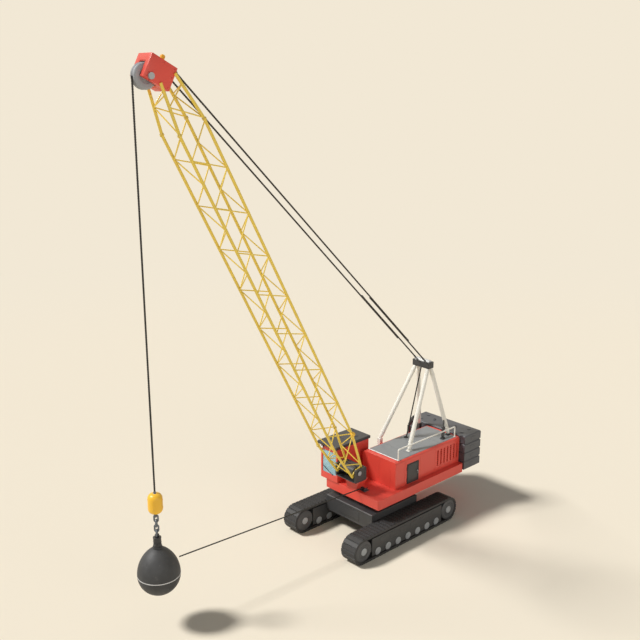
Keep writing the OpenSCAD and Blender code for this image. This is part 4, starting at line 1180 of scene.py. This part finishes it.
class CRANE_OT_house(bpy.types.Operator):
    """Engine house: seams, vents, service door, door trim, roof rail and trim, tank fittings"""

    bl_idname = "crane.house"
    bl_label = "Engine house"

    def execute(self, context):
        self.seams()
        self.vents()
        self.service_door()
        self.door()
        self.rail()
        self.roof()
        self.tank()
        return {"FINISHED"}

    def seams(self):
        """Cover strips over the joints of the wall panels."""
        left, right = (LEFT_WALL - 0.002, LEFT_WALL + 0.005), (RIGHT_WALL + 0.002, RIGHT_WALL - 0.005)
        strips = Piece("house_seams")
        for x in (-0.62, -1.62, -2.62, -4.20):
            for (inner, outer), low in ((left, 2.09), (right, 2.58)):
                strips.block((x - 0.022, inner, low), (x + 0.022, outer, 3.18), 0.003)
            spots = [(x, LEFT_WALL + 0.004, 2.13 + i * 0.125) for i in range(9)]
            strips.bolts(spots, Y, 0.016, 0.006)
        strips.block((-4.15, LEFT_WALL - 0.002, 2.072), (-0.14, LEFT_WALL + 0.006, 2.10), 0.003)
        for y in (-0.30, 0.37, 1.04):
            strips.block((-0.022, y - 0.02, 2.09), (-0.015, y + 0.02, 3.17), 0.003)
        strips.finished("upper", "red_paint")

    def vents(self):
        """Angled blades in the seven vents of the left wall, in raised frames."""
        blades, frames = Piece("vent_blades"), Piece("vent_frames")
        low, high, near, far = 2.325, 3.057, LEFT_WALL - 0.004, LEFT_WALL + 0.007
        inner = LEFT_WALL - 0.038
        for i in range(7):
            x = -2.78 - i * 0.222
            for k in range(7):
                z = 2.385 + k * 0.100
                slat = (
                    (inner, z), (inner + 0.024, z - 0.034),
                    (inner + 0.027, z - 0.029), (inner + 0.003, z + 0.006),
                )
                blades.loft([[(x + dx, y, up) for y, up in slat] for dx in (-0.039, 0.039)])
            for dx in (-0.047, 0.047):
                frames.block((x + dx - 0.006, near, low), (x + dx + 0.006, far, high), 0.003)
            for z in (low, high):
                frames.block((x - 0.05, near, z - 0.006), (x + 0.05, far, z + 0.006), 0.003)
        blades.finished("upper", "red_paint")
        frames.finished("upper", "red_paint")

    def service_door(self):
        """A door with pressed louvres in the right wall."""
        hatch = Piece("right_service_door")
        out = RIGHT_WALL - 0.022
        hatch.block((-3.60, out, 2.64), (-2.80, RIGHT_WALL + 0.002, 3.16), 0.008)
        louvre = [(0, 0.004), (0.02, 0.022), (0.58, 0.022), (0.60, 0.004)]
        for k in range(6):
            hatch.turned((-3.50, out + 0.002, 2.72 + k * 0.07), X, louvre, 12)
        for z in (2.74, 3.06):
            hatch.rod((-2.795, out - 0.004, z - 0.04), (-2.795, out - 0.004, z + 0.04), 0.014, 12, 0.002)
        hatch.finished("upper", "red_paint")

    def door(self):
        """Pressed frame and handle of the engine house door."""
        face, grip_x, grip_z = 1.366, -1.395, 2.56
        trim = Piece("house_door_trim")
        trim.surround("y", (face, face + 0.010), (-1.455, 2.130), (-0.785, 2.970), 0.015, 0.003)
        trim.finished("house_door", "dark_paint")
        rose = [(0, 0.034), (0.008, 0.034), (0.012, 0.028), (0.030, 0.018), (0.034, 0.012)]
        grip = Piece("house_door_handle").turned((grip_x, face, grip_z), Y, rose, 20)
        out = face + 0.038
        path = [(grip_x, face + 0.026, grip_z), (grip_x, out, grip_z), (grip_x, out, grip_z - 0.13)]
        grip.sweep(rounded(path, 0.010), 0.009, 10)
        grip.finished("house_door", "bare_steel", "dark_paint")

    def rail(self):
        """The rail along the left edge of the roof."""
        y, front, back = 1.210, -0.310, -4.075
        foot = [(0, 0.055), (0.010, 0.055), (0.013, 0.050), (0.013, 0.03)]
        rail = Piece("roof_handrail")
        rail.bow((front, y, 3.29), Z * 0.489, X * (back - front), 0.06, 0.029, 12)
        for x in (front, back):
            rail.turned((x, y, ROOF_TOP - 0.003), Z, foot, 16)
        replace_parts(rail.finished("upper", "cream_paint"), "roof_rail")

    def roof(self):
        """The pale front edge, seams with their bolts, a cover plate and the boot of the luffing line."""
        low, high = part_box("roof_plate")
        lip = Piece("roof_front_lip")
        back, front = (high.x - 0.030, low.y - 0.005), (high.x + 0.015, high.y + 0.005)
        lip.block((*back, high.z - 0.004), (*front, high.z + 0.022))
        lip.finished("upper", "white_plastic", "cream_paint")
        seams, foot = Piece("roof_seams"), high.z - 0.001
        for x in (-1.20, -3.05):
            seams.block((x - 0.02, -0.45, foot), (x + 0.02, 1.16, foot + 0.006), 0.002)
            seams.bolts([(x, -0.40 + i * 0.19, foot + 0.005) for i in range(9)], Z, 0.016, 0.006)
        seams.block((-2.62, -0.36, foot), (-2.18, -0.04, foot + 0.009), 0.003)
        seams.finished("upper", "grey_paint")
        profile = [
            (0, 0.105), (0.012, 0.105), (0.018, 0.09), (0.030, 0.084),
            (0.042, 0.066), (0.052, 0.058), (0.060, 0.040),
        ]
        spot, lean = (-2.40, -0.205, high.z + 0.004), (-0.19, 0.06, 1.0)
        boot = Piece("luffing_line_boot").turned(spot, lean, profile, 28)
        boot.finished("upper", "rubber", "grey_paint")

    def tank(self):
        """Filler cap and bolted straps of the tank unit."""
        profile = [
            (0, 0.085), (0.012, 0.085), (0.016, 0.060), (0.050, 0.060),
            (0.056, 0.072), (0.085, 0.072), (0.090, 0.064),
        ]
        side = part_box("tank_unit")[0].y + 0.002
        cap = Piece("tank_fittings").turned((-1.95, -1.10, TANK_TOP - 0.001), Z, profile, 28)
        for x in (-3.95, -2.90, -1.82):
            cap.block((x - 0.03, side - 0.009, 2.07), (x + 0.03, side, 2.53), 0.003)
            cap.bolts([(x, side - 0.008, z) for z in (2.13, 2.30, 2.47)], -Y, 0.024, 0.010)
        cap.finished("upper", "dark_paint", "red_paint")


class CRANE_OT_cab(bpy.types.Operator):
    """Cab: window seals, wiper, lamps, grab rails, door handle and roof hatch"""

    bl_idname = "crane.cab"
    bl_label = "Cab"

    def execute(self, context):
        self.seals()
        self.wiper()
        self.lamps()
        self.grips()
        self.hatch()
        return {"FINISHED"}

    def seals(self):
        """Raised edges round the windscreen, the side window and the rear window."""
        low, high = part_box("cab_shell")
        seals, half, top = Piece("window_seals"), 0.016, 3.401
        seals.surround("x", (high.x - 0.026, high.x - 0.010), (-1.73, 2.336), (-0.89, top), half)
        seals.surround("y", (low.y - 0.009, low.y + 0.005), (0.73, 2.626), (1.19, top), half)
        seals.surround("x", (low.x - 0.010, low.x + 0.004), (-1.66, 2.766), (-0.96, top), half)
        seals.finished("upper", "red_paint")

    def wiper(self):
        """Arm, blade and motor cap in front of the windscreen."""
        pivot, tip = Vector((1.318, -1.533, 2.557)), Vector((1.318, -1.073, 2.343))
        arm, inwards = (pivot - tip).normalized(), X * -0.012
        wiper = Piece("wiper")
        wiper.turned((1.296, -1.10, 2.352), X, [(0, 0.030), (0.018, 0.030), (0.026, 0.022)], 16)
        wiper.rod(tip, pivot, 0.011, 8, 0.002)
        wiper.rod(pivot - arm * 0.10 + inwards, pivot + arm * 0.14 + inwards, 0.014, 8)
        wiper.finished("upper", "rubber", "dark_paint")

    def lamps(self):
        """Two work lamps above the windscreen."""
        housing = [(0, 0.02), (0.010, 0.048), (0.050, 0.062), (0.062, 0.062)]
        glass = [(0, 0.058), (0.010, 0.056), (0.018, 0.040), (0.022, 0.015)]
        lamps, bodies = Piece("cab_lamps"), Piece("cab_lamp_bodies")
        for y in (-1.70, -0.92):
            bodies.turned((1.305, y, 3.50), X, housing, 24)
            lamps.turned((1.362, y, 3.50), X, glass, 24)
        bodies.finished("upper", "dark_paint")
        lamps.finished("upper", "white_plastic", "window_glass", 50.0)

    def grips(self):
        """Grab rails on both sides of the door, and the door's own handle."""
        grips = Piece("cab_grab_rails")
        for x in (0.67, -0.42):
            grips.bow((x, CAB_WALL + 0.002, 2.45), Y * -0.077, Z * 0.90, 0.04, sizes().rail * 0.7)
        grips.finished("upper", "dark_paint")
        handle = Piece("cab_door_handle")
        handle.block((0.47, -1.860, 2.50), (0.53, -1.846, 2.62))
        handle.bow((0.50, -1.855, 2.535), Y * -0.025, Z * 0.065, 0.010, 0.007, 8)
        handle.finished("cab_door", "rubber", "dark_paint")

    def hatch(self):
        """A hatch in the roof, and the roof's corner bolts."""
        hatch = Piece("cab_roof_hatch")
        hatch.block((-0.20, -1.62, 3.750), (0.50, -1.04, 3.775), 0.012)
        hatch.bolts(product((-0.56, 1.35), (-1.85, -0.81), (3.755,)), Z, 0.030, 0.012)
        hatch.finished("upper", "dark_paint")


class CRANE_OT_gantry(bpy.types.Operator):
    """Gantry legs, their feet and posts, raising cylinders, rope drum and head pins"""

    bl_idname = "crane.gantry"
    bl_label = "Gantry"

    def execute(self, context):
        self.legs()
        self.posts()
        self.rams()
        self.drum()
        return {"FINISHED"}

    def legs(self):
        """Tubes that taper at both ends, with a collar near each."""
        r = sizes().gantry_leg
        collar = [(0, r), (0.006, r + 0.010), (0.034, r + 0.010), (0.040, r)]
        for node, name, foot_x, top_x in (
            ("gantry_front_legs", "gantry_front_tubes", -1.39, -3.08),
            ("gantry_rear_legs", "gantry_rear_tubes", -4.05, -3.26),
        ):
            tubes = Piece(name)
            for side in SIDES:
                a = Vector((foot_x, side * 0.86, GANTRY_FOOT))
                b = Vector((top_x, side * 0.35, 6.55))
                size = (b - a).length
                profile = [
                    (0.0, r * 0.70), (0.05, r * 0.78), (0.10, r * 0.97), (0.13, r), (size - 0.16, r),
                    (size - 0.13, r * 0.97), (size - 0.06, r * 0.74), (size, r * 0.66),
                ]
                tubes.turned(a, b - a, profile, 32)
                for at in (0.30, size - 0.34):
                    tubes.turned(a + (b - a) * (at / size), b - a, collar, 32)
            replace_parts(tubes.finished("upper", "cream_paint"), node)

    def posts(self):
        """A pad on the roof for each left foot, and a post to the deck or tank for each right one."""
        posts, top = Piece("gantry_foot_posts"), GANTRY_FOOT
        for x, y, half, low in (
            (-1.39, 0.86, 0.09, DECK_TOP),
            (-4.05, 0.86, 0.09, TANK_TOP),
            (-3.50, 1.00, 0.058, TANK_TOP),
        ):
            wide, deep = half + 0.03, half + 0.02
            posts.block((x - 0.11, y - 0.10, ROOF_TOP), (x + 0.11, y + 0.10, ROOF_TOP + 0.014), 0.003)
            posts.block((x - 0.08, y - 0.075, ROOF_TOP + 0.013), (x + 0.08, y + 0.075, top))
            posts.block((x - half, -y - half, low), (x + half, -y + half, top), 0.008)
            posts.block((x - wide, -y - deep, low), (x + wide, -y + deep, low + 0.014), 0.003)
        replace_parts(posts.finished("upper", "post_paint", "dark_paint"), "gantry_pedestals")

    def rams(self):
        """Two raising cylinders with their glands and bright rods."""
        rams = Piece("raising_cylinder_set")
        for side in SIDES:
            foot, end = Vector((-3.50, side * 1.00, 3.375)), Vector((-3.86, side * 0.737, 4.135))
            size = (end - foot).length
            gland = size * 0.56
            profile = [
                (0.0, 0.050), (0.02, 0.070), (0.05, 0.073), (gland - 0.09, 0.073), (gland - 0.085, 0.080),
                (gland - 0.03, 0.080), (gland - 0.02, 0.066), (gland, 0.060), (gland, 0.034), (size, 0.034),
            ]
            rams.turned(foot, end - foot, profile, 28)
        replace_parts(rams.finished("upper", "cylinder_paint"), "gantry_cylinders")

    def drum(self):
        """Eight sheaves side by side, painted white as a painted highlight of their bare metal, the pins' caps and
        the bolts of the head.
        """
        low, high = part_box("gantry_sheaves")
        heart = Vector(((low.x + high.x) / 2, 0.0, (low.z + high.z) / 2 + 0.050))
        big = (high.z - low.z) / 2 + 0.030
        groove = (
            (0.0, 0.012), (0.006, 0.0), (0.024, 0.0), (0.034, 0.016),
            (0.065, 0.016), (0.076, 0.0), (0.092, 0.0), (0.097, 0.012),
        )
        wheels = [(-0.395 + i * 0.0988 + y, big - depth) for i in range(8) for y, depth in groove]
        drum = Piece("gantry_sheave_set").turned(heart, Y, [(-0.400, 0.04), *wheels, (0.400, 0.04)], 40)
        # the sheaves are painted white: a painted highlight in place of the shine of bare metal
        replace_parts(drum.finished("upper", "white_plastic", "cream_paint"), "gantry_sheaves")
        cap = [(0, 0.060), (0.012, 0.060), (0.018, 0.052), (0.018, 0.03), (0.026, 0.026), (0.026, 0.008)]
        pins = Piece("gantry_head_pins")
        for side in SIDES:
            pins.turned(heart + Y * side * 0.463, Y * side, cap, 28)
            pins.bolts(product((-3.30, -3.03), (side * 0.464,), (6.585, 6.70)), Y * side, 0.026, 0.012)
        pins.bolts([(-2.999, y, 6.60) for y in (-0.42, -0.21, 0.0, 0.21, 0.42)], X, 0.026, 0.012)
        pins.finished("upper", "dark_paint")


class CRANE_OT_counterweight(bpy.types.Operator):
    """Counterweight: tie bolts, lifting eyes and side pads"""

    bl_idname = "crane.counterweight"
    bl_label = "Counterweight"

    def execute(self, context):
        low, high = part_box("counterweight_slabs")
        self.tie_bolts(high.z)
        self.eyes(high.z)
        self.pads(low, high)
        return {"FINISHED"}

    def tie_bolts(self, top):
        """Heads of the tie bolts on their washers."""
        washer = [(0, 0.085), (0.014, 0.085), (0.018, 0.078), (0.018, 0.04)]
        bolts = Piece("counterweight_tie_bolts")
        for y, x in product((-1.20, 1.20), (-5.14, -4.60)):
            spot = Vector((x, y, top - 0.002))
            bolts.turned(spot, Z, washer, 24)
            bolts.bolts([spot + Z * 0.010], Z, 0.060, 0.014)
        bolts.finished("upper", "slate_paint")

    def eyes(self, top):
        """Bent bars on small plates."""
        eyes = Piece("counterweight_lifting_eyes")
        for y in (-0.62, 0.62):
            base = Vector((-4.88, y, top - 0.004))
            eyes.block(base - Vector((0.09, 0.035, 0)), base + Vector((0.09, 0.035, 0.018)))
            turns = [math.pi * i / 12 for i in range(13)]
            arch = [base + X * (0.052 * math.cos(a)) + Z * (0.018 + 0.062 * math.sin(a)) for a in turns]
            eyes.sweep(arch, 0.013, 12)
        eyes.finished("upper", "slate_paint")

    def pads(self, low, high):
        """Cast pads on the sides and back of every slab."""
        pads, half = Piece("counterweight_side_pads"), 0.07
        step = (high.z - low.z) / 4
        for k in range(4):
            z = low.z + step * (k + 0.5)
            for side in SIDES:
                near, far = side * (high.y - 0.004), side * (high.y + 0.008)
                pads.block((-5.02, near, z - half), (-4.74, far, z + half))
            for y in (-0.7, 0.7):
                pads.block((low.x - 0.004, y - 0.2, z - half), (low.x + 0.006, y + 0.2, z + half), 0.004)
        pads.finished("upper", "slate_paint")


class CRANE_PT_crane(bpy.types.Panel):
    """Sizes, colours and pieces of the crane"""

    bl_label = "Crane"
    bl_idname = "CRANE_PT_crane"
    bl_space_type = "VIEW_3D"
    bl_region_type = "UI"
    bl_category = "Crane"

    def draw(self, context):
        layout = self.layout
        for group in (context.scene.crane_sizes, context.scene.crane_paints):
            box = layout.box()
            for key in group.__annotations__:
                box.prop(group, key)
        for step in STEPS:
            layout.operator(step.bl_idname)


STEPS = (
    CRANE_OT_stage,
    CRANE_OT_finishes,
    CRANE_OT_rigging,
    CRANE_OT_head,
    CRANE_OT_boom,
    CRANE_OT_block,
    CRANE_OT_ball,
    CRANE_OT_tracks,
    CRANE_OT_chassis,
    CRANE_OT_house,
    CRANE_OT_cab,
    CRANE_OT_gantry,
    CRANE_OT_counterweight,
)
CLASSES = (CranePaints, CraneSizes, *STEPS, CRANE_PT_crane)


def register():
    for made in CLASSES:
        bpy.utils.register_class(made)
    bpy.types.Scene.crane_paints = PointerProperty(type=CranePaints)
    bpy.types.Scene.crane_sizes = PointerProperty(type=CraneSizes)


def unregister():
    del bpy.types.Scene.crane_sizes
    del bpy.types.Scene.crane_paints
    for made in reversed(CLASSES):
        bpy.utils.unregister_class(made)


def main():
    register()
    bpy.ops.crane.stage()
    bpy.ops.crane.finishes()
    bpy.ops.crane.rigging()
    bpy.ops.crane.head()
    bpy.ops.crane.boom()
    bpy.ops.crane.block()
    bpy.ops.crane.ball()
    bpy.ops.crane.tracks()
    bpy.ops.crane.chassis()
    bpy.ops.crane.house()
    bpy.ops.crane.cab()
    bpy.ops.crane.gantry()
    bpy.ops.crane.counterweight()


if __name__ == "__main__":
    main()
